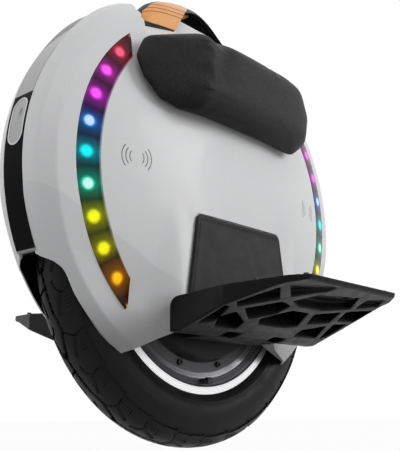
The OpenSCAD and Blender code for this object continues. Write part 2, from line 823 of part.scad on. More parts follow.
module pad_bed() {
    across(bed_y - wall, bed_y) polygon(bed_outline);
    intersection() {
        across(bed_foot_y, bed_y - wall / 2) difference() {
            polygon(bed_outline);
            polygon(grown(bed_outline, -wall));
        }
        translate([-big, -big, -big]) cube([2 * big, 2 * big, big + bed_rise_z]);
    }
}

module side_panel() {
    hub() difference() {
        union() {
            intersection() {
                crown_wall(0, wall);
                across(strip_half, big) edge_outline(0);
            }
            intersection() {
                crown(wall / 2, strip_half);
                across(strip_half, big) difference() {
                    edge_outline(0);
                    edge_outline(edge_lift);
                }
            }
            pad_bed();
            tray_walls();
        }
        above_shoulder(0);
        across(0, tray_edge + seam) polygon(tray_outline(0, wall + 1));
        trolley_slot();
        intersection() {
            across(20, bed_y - wall) polygon(grown(bed_outline, -wall));
            translate([-big, -big, -big]) cube([2 * big, 2 * big, big + bed_rise_z - wall]);
        }
        across(bed_y, big) polygon(grown(lower_pad_outline, 0.3));
        across(0, well_half) circle(r = well_r, $fn = 180);
        translate([-hanger_slot, 0, -big]) cube([2 * hanger_slot, big, big + block_top + 1]);
        for (end = [-1, 1]) across(20, big) arc_lens_outline(end, -fit_gap);
        for (at = speaker_at) sound_slots(at);
    }
    hub() for (end = [-1, 1], p = panel_screws) intersection() {
        crown(wall / 2, 0);
        translate([end * p[0], 0, p[1]]) difference() {
            across(inner_y + 0.2, big) circle(r = 4, $fn = 32);
            across(inner_y, inner_y + screw_bite + 1) circle(r = 1.55, $fn = 24);
        }
    }
}

module side_panel_left() {
    color("#e9eaec") side_panel();
}

module side_panel_right() {
    color("#e9eaec") mirror([0, 1, 0]) side_panel();
}

shelf_z = board_z - 2.4;
shelf_x0 = -165;
shelf_x1 = -95;

module inner_shell() {
    hub() difference() {
        union() {
            intersection() {
                crown(wall + 0.3, 0);
                across(well_half, inner_y) edge_outline(edge_lift + 1);
            }
            intersection() {
                across(0, well_half + 0.5) difference() {
                    circle(r = well_r + wall, $fn = 180);
                    circle(r = well_r, $fn = 180);
                }
                crown(wall + 0.3, 0);
                translate([-big, -big, strip_bottom]) cube([2 * big, 2 * big, big]);
            }
            translate([shelf_x0, 0, shelf_z])
                cube([shelf_x1 - shelf_x0, well_half + 0.5, 2]);
        }
        across(-1, big) circle(r = 40);
        across(well_half - 1, big) polygon([
            [-hanger_slot, -big], [hanger_slot, -big], [hanger_slot, -60], [-hanger_slot, -60]
        ]);
        across(-1, big) polygon(tray_outline(wall + seam, wall + 1));
        above_shoulder(wall + seam);
        trolley_slot();
        for (end = [-1, 1], p = panel_screws)
            translate([end * p[0], 0, p[1]]) across(well_half - 1, big) circle(r = 1.6, $fn = 24);
        translate([-92, 0, 225]) across(well_half - 1, big) circle(r = 8);
    }
}

module inner_shell_left() {
    color("#17181a") inner_shell();
}

module inner_shell_right() {
    color("#17181a") mirror([0, 1, 0]) inner_shell();
}

module shell_screws() {
    color("#333333") hub() both_sides() for (end = [-1, 1], p = panel_screws)
        translate([end * p[0], 0, p[1]]) {
            across(well_half - 2, well_half) circle(r = 3, $fn = 24);
            across(well_half, inner_y + screw_bite) circle(r = 1.5, $fn = 24);
        }
}

module band(r0, r1, half) {
    across(-half, half) difference() {
        stadium(r1);
        stadium(r0);
    }
}

strip_t = 4;
strip_y = strip_half - seam;

module pill(half, h) {
    for (s = [-1, 1]) translate([0, s * (h / 2 - half)]) circle(r = half);
    square([2 * half, h - 2 * half], center = true);
}

module lamp_pill(end, shrink) {
    x0 = end > 0 ? shell_r : -shell_r - 40;
    along(x0, x0 + 40) translate([0, head_z]) pill(head_half - shrink, head_h - 2 * shrink);
}

module strip(end) {
    intersection() {
        band(shell_r - strip_t, shell_r, strip_y);
        translate([end > 0 ? 0 : -big, -big, strip_bottom])
            cube([big, 2 * big, strip_top - strip_bottom]);
    }
}

module front_strip() {
    color("#0d0e10") hub() difference() {
        strip(1);
        lamp_pill(1, -fit_gap);
    }
}

flap_r = socket_r + 4.2;
flap_x = -(shell_r + shell_c) + 1.6;
flap_hinge_z = socket_z + flap_r + 2;
flap_t = 2;
flap_gap = 1;

module rear_strip() {
    color("#0d0e10") hub() difference() {
        strip(-1);
        lamp_pill(-1, -fit_gap);
        translate([flap_x + flap_t + 0.2, 0, socket_z]) rotate([0, -90, 0])
            cylinder(r = flap_r + flap_gap, h = 20);
        translate([flap_x + 10, 0, socket_z]) rotate([0, -90, 0])
            cylinder(r = socket_r + socket_wall + 0.2, h = 20);
        translate([-big, -4.3, flap_hinge_z - 4]) cube([big + flap_x + 3.1, 8.6, 6.5]);
        translate([flap_x + 1, 8, flap_hinge_z]) rotate([90, 0, 0])
            cylinder(r = 0.9 + run_gap, h = 16, $fn = 24);
    }
}

module charge_socket() {
    color("#2a2b2e") hub() translate([flap_x + flap_t + 0.5, 0, socket_z]) rotate([0, 90, 0])
        difference() {
            cylinder(r = socket_r + socket_wall, h = socket_d + 2);
            translate([0, 0, -1]) cylinder(r = socket_r, h = socket_d + 1);
        }
}

module charge_flap() {
    color("#2c2d30") hub() difference() {
        union() {
            translate([flap_x, 0, socket_z]) rotate([0, 90, 0]) cylinder(r = flap_r, h = flap_t);
            translate([flap_x, -4, socket_z]) cube([flap_t, 8, flap_hinge_z - socket_z]);
            translate([flap_x + 1, 4, flap_hinge_z]) rotate([90, 0, 0])
                cylinder(r = 1.5, h = 8, $fn = 24);
            translate([flap_x + 1, 7, flap_hinge_z]) rotate([90, 0, 0])
                cylinder(r = 0.9, h = 14, $fn = 24);
        }
        translate([flap_x - 1, -5, socket_z - flap_r + 0.8]) cube([2, 10, 1.5]);
    }
}

module top_cover() {
    color("#cfd1d4") hub() difference() {
        intersection() {
            band(shell_r - wall, shell_r, strip_y);
            translate([0, -big, strip_top + seam]) cube([big, 2 * big, big]);
        }
        across(-big, big) polygon(tray_outline(wall + seam, wall));
    }
}

module at_power() {
    translate([-shell_c, 0, shell_z]) rotate([0, -power_a, 0]) children();
}

module rear_cover() {
    color("#cfd1d4") hub() difference() {
        intersection() {
            band(shell_r - wall, shell_r, strip_y);
            translate([-big, -big, strip_top + seam])
                cube([big + tray_x0 - wall - seam, 2 * big, big]);
        }
        at_power() cylinder(r = power_r + 0.1, h = big);
    }
}

power_travel = 2;

module power_button() {
    color("#3c3e42") hub() at_power() {
        translate([0, 0, shell_r - wall - 1.8]) cylinder(r = power_r + 2, h = 1.6);
        translate([0, 0, shell_r - wall - 1]) cylinder(r = power_r, h = wall + 1.8);
    }
}

module spine() {
    color("#e9eaec") hub() difference() {
        union() {
            across(-tray_edge, tray_edge) polygon(concat(
                tray_floor(-seam), [for (p = backwards(tray_floor(-seam))) [p[0], p[1] - wall - 0.5]]
            ));
            intersection() {
                across(-25, 25) stadium(shell_r);
                along(ridge_x0, ridge_x1)
                    polygon(lifted([[-20, 262], [20, 262], [12.5, 320], [-12.5, 320]]));
            }
        }
        intersection() {
            across(-25, 25) stadium(shell_r - wall);
            along(ridge_x0 + wall, ridge_x1 - wall)
                polygon(lifted([[-17, 240], [17, 240], [9.5, 320], [-9.5, 320]]));
        }
        both_sides() trolley_slot();
    }
}

// Lamps

module headlight_bezel() {
    color("#f2f2f2") hub() difference() {
        intersection() {
            band(shell_r - 14, shell_r, strip_y);
            lamp_pill(1, 0);
        }
        lamp_pill(1, 1.8);
    }
}

module headlight_lens() {
    color("#c9ccd0") hub() intersection() {
        band(shell_r - 3, shell_r - 0.4, strip_y);
        lamp_pill(1, 1.9);
    }
}

module headlight_reflector() {
    color("#dcdfe2") hub() difference() {
        intersection() {
            band(shell_r - 14, shell_r - 3.2, strip_y);
            lamp_pill(1, 1.9);
        }
        translate([shell_r + shell_c - 16, 0, head_z]) sphere(r = 8);
    }
}

module tail_lens() {
    color("#8c1620") hub() intersection() {
        band(shell_r - 7, shell_r - 0.3, strip_y);
        lamp_pill(-1, 0);
    }
}

module arc_lenses() {
    color("#3b2a44") hub() both_sides() for (end = [-1, 1]) intersection() {
        arc_end(end, wall_profile(-0.5, wall));
        across(30, 75) arc_lens_outline(end, 0);
    }
}

guide_y = inner_y + 5;

module light_guides() {
    color("#d8d8d8") hub() both_sides() for (end = [-1, 1])
        across(inner_y + 0.3, guide_y) arc_lens_outline(end, 4);
}

module lamps() {
    color("#ff5577") hub() both_sides() for (end = [-1, 1], i = [0 : led_n - 1])
        translate([end * 20, 0, shell_z + 2]) about_y()
            rotate([0, 0, (i - (led_n - 1) / 2) * led_step])
                translate([end * (arc_inner_r + 5) - 3, -3, guide_y]) cube([6, 6, 1.6]);
}

// Pads

// Rings of a cushion: share of the outline's size, and height over its back as a share.
lower_rings = [[0.975, 0], [0.995, 0.3], [1, 0.55], [0.985, 0.86], [0.95, 0.97], [0.8, 1], [0.4, 1]];
upper_rings = [
    [0.2, 0], [0.4, 0], [0.6, 0], [0.78, 0], [0.93, 0], [0.98, 0.12], [1, 0.3], [0.985, 0.52], [0.94, 0.72],
    [0.86, 0.87], [0.72, 0.96], [0.5, 1], [0.25, 1]
];

// A solid through rings of points, in order, closed by a flat face at each end.
module tube_of(rings) {
    n = len(rings[0]);
    k = len(rings);
    points = [for (ring = rings) each ring];
    polyhedron(points, concat(
        [[for (i = [0 : n - 1]) i]],
        [for (j = [0 : k - 2], i = [0 : n - 1])
            each [
                [j * n + i, (j + 1) * n + i, j * n + (i + 1) % n],
                [j * n + (i + 1) % n, (j + 1) * n + i, (j + 1) * n + (i + 1) % n]
            ]],
        [[for (i = [n - 1 : -1 : 0]) (k - 1) * n + i]]
    ));
}

// The same, with the ends closed by fans of triangles about two middle points.
module cushion(rings, first, last) {
    n = len(rings[0]);
    k = len(rings);
    points = concat([for (ring = rings) each ring], [first, last]);
    polyhedron(points, concat(
        [for (i = [0 : n - 1]) [k * n, i, (i + 1) % n]],
        [for (j = [0 : k - 2], i = [0 : n - 1])
            each [
                [j * n + i, (j + 1) * n + i, j * n + (i + 1) % n],
                [j * n + (i + 1) % n, (j + 1) * n + i, (j + 1) * n + (i + 1) % n]
            ]],
        [for (i = [0 : n - 1]) [k * n + 1, (k - 1) * n + (i + 1) % n, (k - 1) * n + i]]
    ));
}

function towards(p, mid, s) = mid + (p - mid) * s;

// The same outline with no side longer than a step.
function in_steps(pts, step) = [for (i = [0 : len(pts) - 1])
    let (a = pts[i], b = pts[(i + 1) % len(pts)], n = max(1, ceil(norm(b - a) / step)))
    each [for (j = [0 : n - 1]) a + (b - a) * j / n]];

module lower_pad() {
    outline = round_poly(lower_pad_outline, 9, 5);
    mid = [0, -20];
    back = bed_y + 0.3;
    hub() cushion([for (ring = lower_rings)
        [for (p = outline) let (q = towards(p, mid, ring[0]))
            [q[0], back + lower_pad_t * ring[1], q[1]]]],
        [mid[0], back, mid[1]], [mid[0], back + lower_pad_t, mid[1]]);
}

module lower_pad_left() {
    color("#232426") lower_pad();
}

module lower_pad_right() {
    color("#232426") mirror([0, 1, 0]) lower_pad();
}

// Front of the upper pad: a ridge near its front end, falling to both ends and over the top.
function pad_front(x, z) =
    let (
        ahead = max(x - 85, 0) / 70,
        behind = max(85 - x, 0) / 225,
        over = max(z - 215, 0) / 24,
        under = max(160 - z, 0) / 24
    )
    ridge_y - 36 * ahead - 12 * behind * behind - 16 * over * over - 8 * under * under;

function pad_back(q) = crown_at(q[0], q[1]) + 0.9;
function pad_point(q, h) =
    [q[0], pad_back(q) + (max(pad_front(q[0], q[1]), pad_back(q) + 6) - pad_back(q)) * h, q[1]];

module upper_pad() {
    outline = in_steps(round_poly(upper_pad_outline, 8, 3), 17);
    mid = [4, 188];
    hub() cushion([for (ring = upper_rings)
        [for (p = outline) pad_point(towards(p, mid, ring[0]), ring[1])]],
        pad_point(mid, 0), pad_point(mid, 1));
}

module upper_pad_left() {
    color("#1b1c1e") upper_pad();
}

module upper_pad_right() {
    color("#1b1c1e") mirror([0, 1, 0]) upper_pad();
}

// Electrics

pack_l = 42;

module battery_packs() {
    color("#2f4f7a") hub() both_sides() for (x = [-138, 92]) intersection() {
        crown(wall + 0.8, 0);
        translate([x, inner_y + 0.3, -45]) cube([pack_l, 60, 230]);
    }
}

module control_board() {
    color("#1f6b3a") hub() difference() {
        translate([-162, -26, board_z]) cube([62, 52, 1.8]);
        for (x = [-158, -104], y = [-22, 22])
            translate([x, y, board_z - 1]) cylinder(r = 1.6, h = 5, $fn = 24);
    }
}

module heat_sink() {
    color("#9da1a6") hub() difference() {
        translate([-152, -22, board_z + 2]) cube([44, 44, 14]);
        for (i = [0 : 7])
            translate([-153, -19.2 + i * 5.1, board_z + 6]) cube([46, 2.8, 12]);
    }
}

fan_x = -130;
fan_z = board_z + 16.2;

module fan_housing() {
    color("#1c1c1e") hub() translate([fan_x, 0, fan_z]) {
        difference() {
            translate([-20, -20, 0]) cube([40, 40, 10]);
            translate([0, 0, -1]) cylinder(r = 18.5, h = 12);
            for (x = [-16.5, 16.5], y = [-16.5, 16.5])
                translate([x, y, -1]) cylinder(r = 1.6, h = 12, $fn = 24);
        }
        for (a = [0, 120, 240]) rotate([0, 0, a]) translate([0, -1.2, 0]) cube([19, 2.4, 1.5]);
        cylinder(r = 6, h = 1.5);
        cylinder(r = 2, h = 8);
    }
}

module fan_rotor() {
    color("#39393c") hub() translate([fan_x, 0, fan_z]) difference() {
        union() {
            translate([0, 0, 1.8]) cylinder(r = 8, h = 7.4);
            for (i = [0 : 6]) rotate([0, 0, i * 360 / 7])
                translate([6, -0.6, 5.5]) rotate([38, 0, 0]) translate([0, 0, -3.6])
                    cube([11.6, 1.2, 7.2]);
        }
        translate([0, 0, 1]) cylinder(r = 2 + run_gap, h = 7.3);
    }
}

module speakers() {
    color("#303236") hub() both_sides() for (at = speaker_at) translate([at[0], 0, at[1]]) {
        across(inner_y + 0.3, 54) circle(r = 10);
        across(54, 58.5) difference() {
            circle(r = 17);
            circle(r = 13);
        }
        across(54, 56) circle(r = 14);
    }
}

// Trolley

module tube_outline(t, w) {
    translate([rod_x - w / 2, rod_y - t / 2]) square([w, t]);
}

mid_t = rod_t + 2 * (slide_gap + tube_t);
mid_w = rod_w + 2 * (slide_gap + tube_t);
rod_y = inner_y + 0.3 + guide_wall + slide_gap + mid_t / 2;
guide_t = mid_t + 2 * (slide_gap + guide_wall);
guide_w = mid_w + 2 * (slide_gap + tube_t);

module rect_tube(t, w, hole_t, hole_w, z0, z1) {
    translate([0, 0, z0]) linear_extrude(z1 - z0) difference() {
        tube_outline(t, w);
        tube_outline(hole_t, hole_w);
    }
}

module trolley_guides() {
    color("#55585c") hub() both_sides() rect_tube(
        guide_t, guide_w, mid_t + 2 * slide_gap, mid_w + 2 * slide_gap, guide_low, guide_top);
}

module trolley_tubes() {
    color("#8f9296") hub() both_sides() rect_tube(
        mid_t, mid_w, rod_t + 2 * slide_gap, rod_w + 2 * slide_gap, guide_low + 4, guide_top + 4);
}

// Each side of the hood has a leg that goes down through the floor to an arm on the trolley rod.
arm_z = guide_top + 8;
arm_t = 5;
arm_y0 = 28;
leg_x0 = 64;
leg_x1 = 82;
leg_t = 3.5;
leg_top = 268 + lift;

module handle_rods() {
    color("#a9acb0") hub() both_sides() translate([0, 0, guide_low + 10])
        linear_extrude(arm_z - guide_low - 10) tube_outline(rod_t, rod_w);
}

hood_power = 1.6;
hood_n = 9;

function hood_width(x) = min(1, 0.62 + (tray_x1 - x) / 40, 0.7 + (x - tray_x0 - 2) / 60);

// Half section of the hood at x: from the foot on the left over the crest to the right foot.
function hood_section(x, half, crest, foot) = [for (i = [-hood_n : hood_n])
    let (a = 90 * i / hood_n, s = sin(abs(a)), c = cos(a))
    [x, -sign(i) * half * pow(s, 2 / hood_power), foot + (crest - foot) * pow(c, 2 / hood_power)]];

module hood_solid(grow) {
    rings = [for (x = hood_stations) hood_section(
        x, (hood_half + grow) * hood_width(x), crest_at(x) + grow, floor_at(x) + 0.4)];
    tube_of(rings);
}

module hood_hollow() {
    rings = [for (x = hood_stations) hood_section(
        x, (hood_half - hood_t) * hood_width(x), max(crest_at(x) - crest_t, floor_at(x) + 2),
        floor_at(x) + 0.3)];
    tube_of(rings);
}

button_x0 = 4;
button_l = 20;
button_half = 5;
button_low = 319 + lift;
button_h = 5;

module handle_arm() {
    x0 = rod_x - rod_w / 2;
    translate([x0, arm_y0, arm_z]) cube([rod_w, rod_y + rod_t / 2 - arm_y0, arm_t]);
    translate([x0, arm_y0, arm_z]) cube([leg_x1 - x0, leg_t, arm_t]);
    translate([leg_x0, arm_y0, arm_z]) cube([leg_x1 - leg_x0, leg_t, leg_top - arm_z]);
}

module handle() {
    color("#1a1b1e") hub() {
        difference() {
            hood_solid(0);
            hood_hollow();
            across(-60, 60) polygon(grip_opening);
            translate([button_x0 - fit_gap, -button_half - fit_gap, button_low - 5])
                cube([button_l + 2 * fit_gap, 2 * button_half + 2 * fit_gap,
                    button_h + release_travel + 5.3]);
        }
        both_sides() handle_arm();
    }
}

plate_outline = lifted([
    [98, 263], [102, 270], [89, 291], [77, 305], [66, 313], [40, 323], [8, 330], [30, 307],
    [46, 287], [59, 268]
]);
plate_grow = 0.8;

module handle_plates() {
    color("#e8a04c") hub() intersection() {
        difference() {
            hood_solid(plate_grow);
            hood_solid(0);
        }
        both_sides() across(6, 60) polygon(plate_outline);
    }
}

module release_button() {
    color("#e8a04c") hub() translate([button_x0, -button_half, button_low])
        cube([button_l, 2 * button_half, button_h]);
}

tyre();
inner_tube();
valve();
rim();
motor_cover_left();
motor_cover_right();
cover_screws();
rotor_ring();
magnets();
wheel_bearings();
axle();
axle_nuts();
stator_core();
windings();
motor_cable();
hanger_left();
hanger_right();
hinge_pins();
inner_shell_left();
inner_shell_right();
side_panel_left();
side_panel_right();
shell_screws();
front_strip();
rear_strip();
top_cover();
rear_cover();
spine();
headlight_bezel();
headlight_lens();
headlight_reflector();
tail_lens();
arc_lenses();
light_guides();
lamps();
upper_pad_left();
upper_pad_right();
lower_pad_left();
lower_pad_right();
battery_packs();
control_board();
heat_sink();
fan_housing();
fan_rotor();
speakers();
trolley_guides();
trolley_tubes();
handle_rods();
handle();
handle_plates();
release_button();
charge_socket();
charge_flap();
power_button();
pedal_left();
pedal_right();
pedal_grips_left();
pedal_grips_right();
pedal_studs(1);  // pedal_studs_left
pedal_studs(-1);  // pedal_studs_right
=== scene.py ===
import bpy
import bmesh
import json
import math
import numpy as np
from mathutils import Matrix
from mathutils.geometry import delaunay_2d_cdt

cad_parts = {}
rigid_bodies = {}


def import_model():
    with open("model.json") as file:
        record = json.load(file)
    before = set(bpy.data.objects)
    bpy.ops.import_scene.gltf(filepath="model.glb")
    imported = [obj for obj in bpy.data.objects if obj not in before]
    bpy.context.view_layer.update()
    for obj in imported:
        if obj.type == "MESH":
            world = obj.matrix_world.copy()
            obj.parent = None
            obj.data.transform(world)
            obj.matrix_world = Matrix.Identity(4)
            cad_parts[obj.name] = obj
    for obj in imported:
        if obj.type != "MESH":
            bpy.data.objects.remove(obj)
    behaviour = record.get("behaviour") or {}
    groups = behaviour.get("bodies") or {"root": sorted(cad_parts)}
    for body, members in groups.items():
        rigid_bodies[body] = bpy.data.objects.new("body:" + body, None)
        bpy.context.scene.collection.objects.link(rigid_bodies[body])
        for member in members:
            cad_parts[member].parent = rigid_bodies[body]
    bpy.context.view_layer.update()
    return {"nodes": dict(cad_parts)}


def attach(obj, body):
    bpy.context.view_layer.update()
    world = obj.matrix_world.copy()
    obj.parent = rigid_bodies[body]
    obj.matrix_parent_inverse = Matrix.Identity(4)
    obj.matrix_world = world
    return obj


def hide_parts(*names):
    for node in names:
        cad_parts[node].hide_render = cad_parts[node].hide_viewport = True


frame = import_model()
nodes = frame["nodes"]

hubZ = 0.2165  # height of the axle; the shapes below are in millimetres from it


# Meshes

def makePiece(name, points, faces, sharp=35, body="body"):
    # points: millimetres from the axle, moved into the ground frame in metres
    mesh = bpy.data.meshes.new(name)
    place = np.asarray(points, float) / 1000 + [0, 0, hubZ]
    mesh.from_pydata(place.tolist(), [], faces if isinstance(faces, list) else faces.tolist())
    mesh.validate()
    mesh.shade_smooth()
    mesh.set_sharp_from_angle(angle=math.radians(sharp))
    piece = bpy.data.objects.new(name, mesh)
    bpy.context.scene.collection.objects.link(piece)
    piece["goesWith"] = body
    return piece


def gridFaces(rows, columns, closedRows=False, closedColumns=False):
    # quads between neighbours of a rows by columns grid of points
    i, j = np.meshgrid(
        np.arange(rows if closedRows else rows - 1),
        np.arange(columns if closedColumns else columns - 1), indexing="ij")
    a = i * columns + j
    b = ((i + 1) % rows) * columns + j
    c = ((i + 1) % rows) * columns + (j + 1) % columns
    d = i * columns + (j + 1) % columns
    return np.stack([a, b, c, d], -1).reshape(-1, 4)


def mirrored(points, faces):
    # the same surface on the other side of the wheel, with its faces turned outwards again
    return np.asarray(points) * [1, -1, 1], [list(f)[::-1] for f in faces]


def throughPoints(table, at):
    # smooth curve through a table of (place, value) rows, by cubic Hermite pieces
    t = np.asarray(table, float)
    x, y = t[:, 0], t[:, 1:]
    slope = np.gradient(y, x, axis=0)
    k = np.clip(np.searchsorted(x, at) - 1, 0, len(x) - 2)
    h = (x[k + 1] - x[k])[:, None]
    s = np.clip((at - x[k])[:, None] / h, 0, 1)
    value = ((2 * s**3 - 3 * s**2 + 1) * y[k] + (s**3 - 2 * s**2 + s) * h * slope[k]
             + (3 * s**2 - 2 * s**3) * y[k + 1] + (s**3 - s**2) * h * slope[k + 1])
    return value if value.shape[1] > 1 else value[:, 0]


def alongLoop(corners, step, closed=True):
    # points at even steps along the straight sides of an outline
    pts = np.asarray(corners, float)
    ends = np.roll(pts, -1, 0) if closed else pts[1:]
    parts = []
    for a, b in zip(pts, ends):
        n = max(1, int(np.ceil(np.linalg.norm(b - a) / step)))
        parts.append(a + (b - a) * (np.arange(n) / n)[:, None])
    if not closed:
        parts.append(pts[-1:])
    return np.concatenate(parts)


def rounded(corners, radius, steps=5):
    # an outline whose corners are arcs of the given radius
    pts = np.asarray(corners, float)
    out = []
    for i in range(len(pts)):
        a, b, c = pts[i - 1], pts[i], pts[(i + 1) % len(pts)]
        u, v = (a - b) / np.linalg.norm(a - b), (c - b) / np.linalg.norm(c - b)
        half = math.acos(np.clip(u @ v, -1, 1)) / 2
        r = min(radius, 0.45 * math.tan(half) * min(np.linalg.norm(a - b), np.linalg.norm(c - b)))
        middle = b + (u + v) / np.linalg.norm(u + v) * r / math.sin(half)
        s, e = b + u * r / math.tan(half), b + v * r / math.tan(half)
        turn = np.linspace(0, 1, steps + 1)[:, None]
        way = (s - middle) * (1 - turn) + (e - middle) * turn
        out.append(middle + way / np.linalg.norm(way, axis=1)[:, None] * r)
    return np.concatenate(out)


def distanceTo(points, line, closed=True):
    # shortest distance from each point to a polyline
    line = np.asarray(line, float)
    a = line if closed else line[:-1]
    b = np.roll(line, -1, 0) if closed else line[1:]
    best = np.full(len(points), 1e9)
    for p, q in zip(a, b):
        d = q - p
        t = np.clip(((points - p) @ d) / max(d @ d, 1e-9), 0, 1)
        best = np.minimum(best, np.linalg.norm(points - p - t[:, None] * d, axis=1))
    return best


def isInside(points, outline):
    # even and odd crossings of a ray with the outline
    a, b = np.asarray(outline, float), np.roll(np.asarray(outline, float), -1, 0)
    found = np.zeros(len(points), bool)
    for p, q in zip(a, b):
        if p[1] == q[1]:
            continue
        crosses = (points[:, 1] > min(p[1], q[1])) & (points[:, 1] <= max(p[1], q[1]))
        at = p[0] + (points[:, 1] - p[1]) * (q[0] - p[0]) / (q[1] - p[1])
        found ^= crosses & (points[:, 0] < at)
    return found


def smoothStep(x, low, high):
    t = np.clip((x - low) / (high - low), 0, 1)
    return t * t * (3 - 2 * t)


def flatSheet(outline, holes, grid, extra=()):
    # triangles over an outline with holes, through the grid's points that lie inside it
    loops = [np.asarray(outline)] + [np.asarray(h) for h in holes] + [np.asarray(e) for e in extra]
    keep = isInside(grid, loops[0])
    for h in holes:
        keep &= ~isInside(grid, h)
    grid = grid[keep]
    for line in loops:
        grid = grid[distanceTo(grid, line) > 0.9]
    points, edges = [], []
    for line in loops:
        n = len(points)
        points += line.tolist()
        edges += [(n + i, n + (i + 1) % len(line)) for i in range(len(line))]
    points += grid.tolist()
    verts, _, faces = delaunay_2d_cdt(points, edges, [], 1, 1e-4, False)[:3]
    verts, faces = np.array([tuple(v) for v in verts]), np.array(faces)
    middle = verts[faces].mean(1)
    inside = isInside(middle, loops[0])
    for h in holes:
        inside &= ~isInside(middle, h)
    faces = faces[inside]
    used = np.unique(faces)
    number = np.full(len(verts), -1)
    number[used] = np.arange(len(used))
    verts, faces = verts[used], number[faces]
    p = verts[faces]
    u, v = p[:, 1] - p[:, 0], p[:, 2] - p[:, 0]
    turned = u[:, 0] * v[:, 1] - u[:, 1] * v[:, 0] > 0
    faces[turned] = faces[turned][:, ::-1]
    return verts, faces


def edgeLoops(faces):
    # directed edges that belong to one face only
    e = np.concatenate([faces[:, [i, (i + 1) % faces.shape[1]]] for i in range(faces.shape[1])])
    key = {tuple(r) for r in e.tolist()}
    return np.array([r for r in e.tolist() if (r[1], r[0]) not in key])


# Shader building: a Value is a socket with arithmetic, and a Paint is a material being made

class Value:
    def __init__(self, paint, socket):
        self.paint, self.socket = paint, socket

    def math(self, work, *others):
        return self.paint.node("ShaderNodeMath", {"operation": work}, [self, *others])

    def __add__(self, o): return self.math("ADD", o)
    def __radd__(self, o): return self.math("ADD", o)
    def __sub__(self, o): return self.math("SUBTRACT", o)
    def __mul__(self, o): return self.math("MULTIPLY", o)
    def __rmul__(self, o): return self.math("MULTIPLY", o)
    def __truediv__(self, o): return self.math("DIVIDE", o)

    def __rsub__(self, o):
        return self.paint.node("ShaderNodeMath", {"operation": "SUBTRACT"}, [o, self])

    def step(self, low, high, out=(0.0, 1.0)):
        # smooth ramp from low to high
        return self.paint.node("ShaderNodeMapRange", {"interpolation_type": "SMOOTHSTEP"},
                               [self, low, high, out[0], out[1]])


class Paint:
    def __init__(self, name, color, roughness, **fixed):
        self.material = bpy.data.materials.new(name)
        self.material.use_nodes = True
        self.tree = self.material.node_tree
        self.shader = self.tree.nodes["Principled BSDF"]
        self.set("Base Color", color)
        self.set("Roughness", roughness)
        for key, value in fixed.items():
            self.set(key.replace("_", " "), value)
        self.place = None

    def set(self, name, value):
        socket = self.shader.inputs[name]
        if isinstance(value, Value):
            self.tree.links.new(value.socket, socket)
        elif socket.type == "RGBA":
            socket.default_value = (*value, 1) if len(value) == 3 else value
        else:
            socket.default_value = value

    def node(self, kind, settings=None, values=(), out=0):
        made = self.tree.nodes.new(kind)
        for key, value in (settings or {}).items():
            if key == "stops":
                ramp = made.color_ramp
                while len(ramp.elements) < len(value):
                    ramp.elements.new(0.5)
                for e, (at, color) in zip(ramp.elements, value):
                    e.position = at
                    e.color = (*color, 1)
            else:
                setattr(made, key, value)
        pairs = values.items() if isinstance(values, dict) else enumerate(values)
        for key, value in pairs:
            if value is None:
                continue
            socket = made.inputs[key]
            if isinstance(value, Value):
                self.tree.links.new(value.socket, socket)
            elif socket.type == "RGBA" and len(value) == 3:
                socket.default_value = (*value, 1)
            else:
                socket.default_value = value
        return Value(self, made.outputs[out])

    def where(self):
        # place on the piece in metres
        if self.place is None:
            self.place = self.node("ShaderNodeTexCoord", out=3)
        return self.place

    def axes(self):
        made = self.tree.nodes.new("ShaderNodeSeparateXYZ")
        self.tree.links.new(self.where().socket, made.inputs[0])
        return [Value(self, s) for s in made.outputs]

    def attribute(self, name):
        made = self.tree.nodes.new("ShaderNodeAttribute")
        made.attribute_name = name
        return Value(self, made.outputs["Fac"])

    def scaled(self, size, source=None):
        return self.node("ShaderNodeVectorMath", {"operation": "MULTIPLY"},
                         [source or self.where(), size])

    def noise(self, scale, detail=3.0, rough=0.5, source=None, warp=0.0):
        return self.node("ShaderNodeTexNoise", {}, {"Vector": source or self.where(), "Scale": scale,
                         "Detail": detail, "Roughness": rough, "Distortion": warp})

    def cells(self, scale, feature="F1", source=None):
        return self.node("ShaderNodeTexVoronoi", {"feature": feature},
                         {"Vector": source or self.where(), "Scale": scale})

    def blend(self, share, a, b):
        made = self.tree.nodes.new("ShaderNodeMix")
        made.data_type = "RGBA"
        made.clamp_factor = True
        for key, value in ((0, share), (6, a), (7, b)):
            if isinstance(value, Value):
                self.tree.links.new(value.socket, made.inputs[key])
            else:
                made.inputs[key].default_value = (*value, 1) if key else value
        return Value(self, made.outputs[2])

    def bump(self, height, depth, strength=1.0):
        # depth in metres for a height from 0 to 1
        self.set("Normal", self.node("ShaderNodeBump", {}, {
            "Height": height, "Distance": depth, "Strength": strength}))

    def ramp(self, share, stops, how="LINEAR"):
        made = self.node("ShaderNodeValToRGB", {"stops": stops}, [share])
        made.socket.node.color_ramp.interpolation = how
        return made


def putOn(paint, *names):
    for name in names:
        data = nodes[name].data if isinstance(name, str) else name.data
        data.materials.clear()
        data.materials.append(paint.material)


# Camera at the photograph's place

view = {"place": (0.6755, 0.6135, 0.0326), "lens": 61.83,
        "right": (-0.66258896, 0.74893762, -0.00826453),
        "up": (0.17543346, 0.16591536, 0.97040981),
        "back": (0.72814763, 0.64153295, -0.2413224)}


def placeCamera():
    data = bpy.data.cameras.new("photoCamera")
    data.sensor_fit, data.sensor_height, data.sensor_width = "VERTICAL", 36, 36
    data.lens = view["lens"]
    data.clip_start, data.clip_end = 0.01, 30
    camera = bpy.data.objects.new("photoCamera", data)
    turn = Matrix([view["right"], view["up"], view["back"]]).transposed().to_4x4()
    camera.matrix_world = Matrix.Translation(view["place"]) @ turn
    bpy.context.scene.collection.objects.link(camera)
    bpy.context.scene.camera = camera


placeCamera()
print("camera placed")


# Studio: pale floor, white backdrop from camera rays, three soft lamps

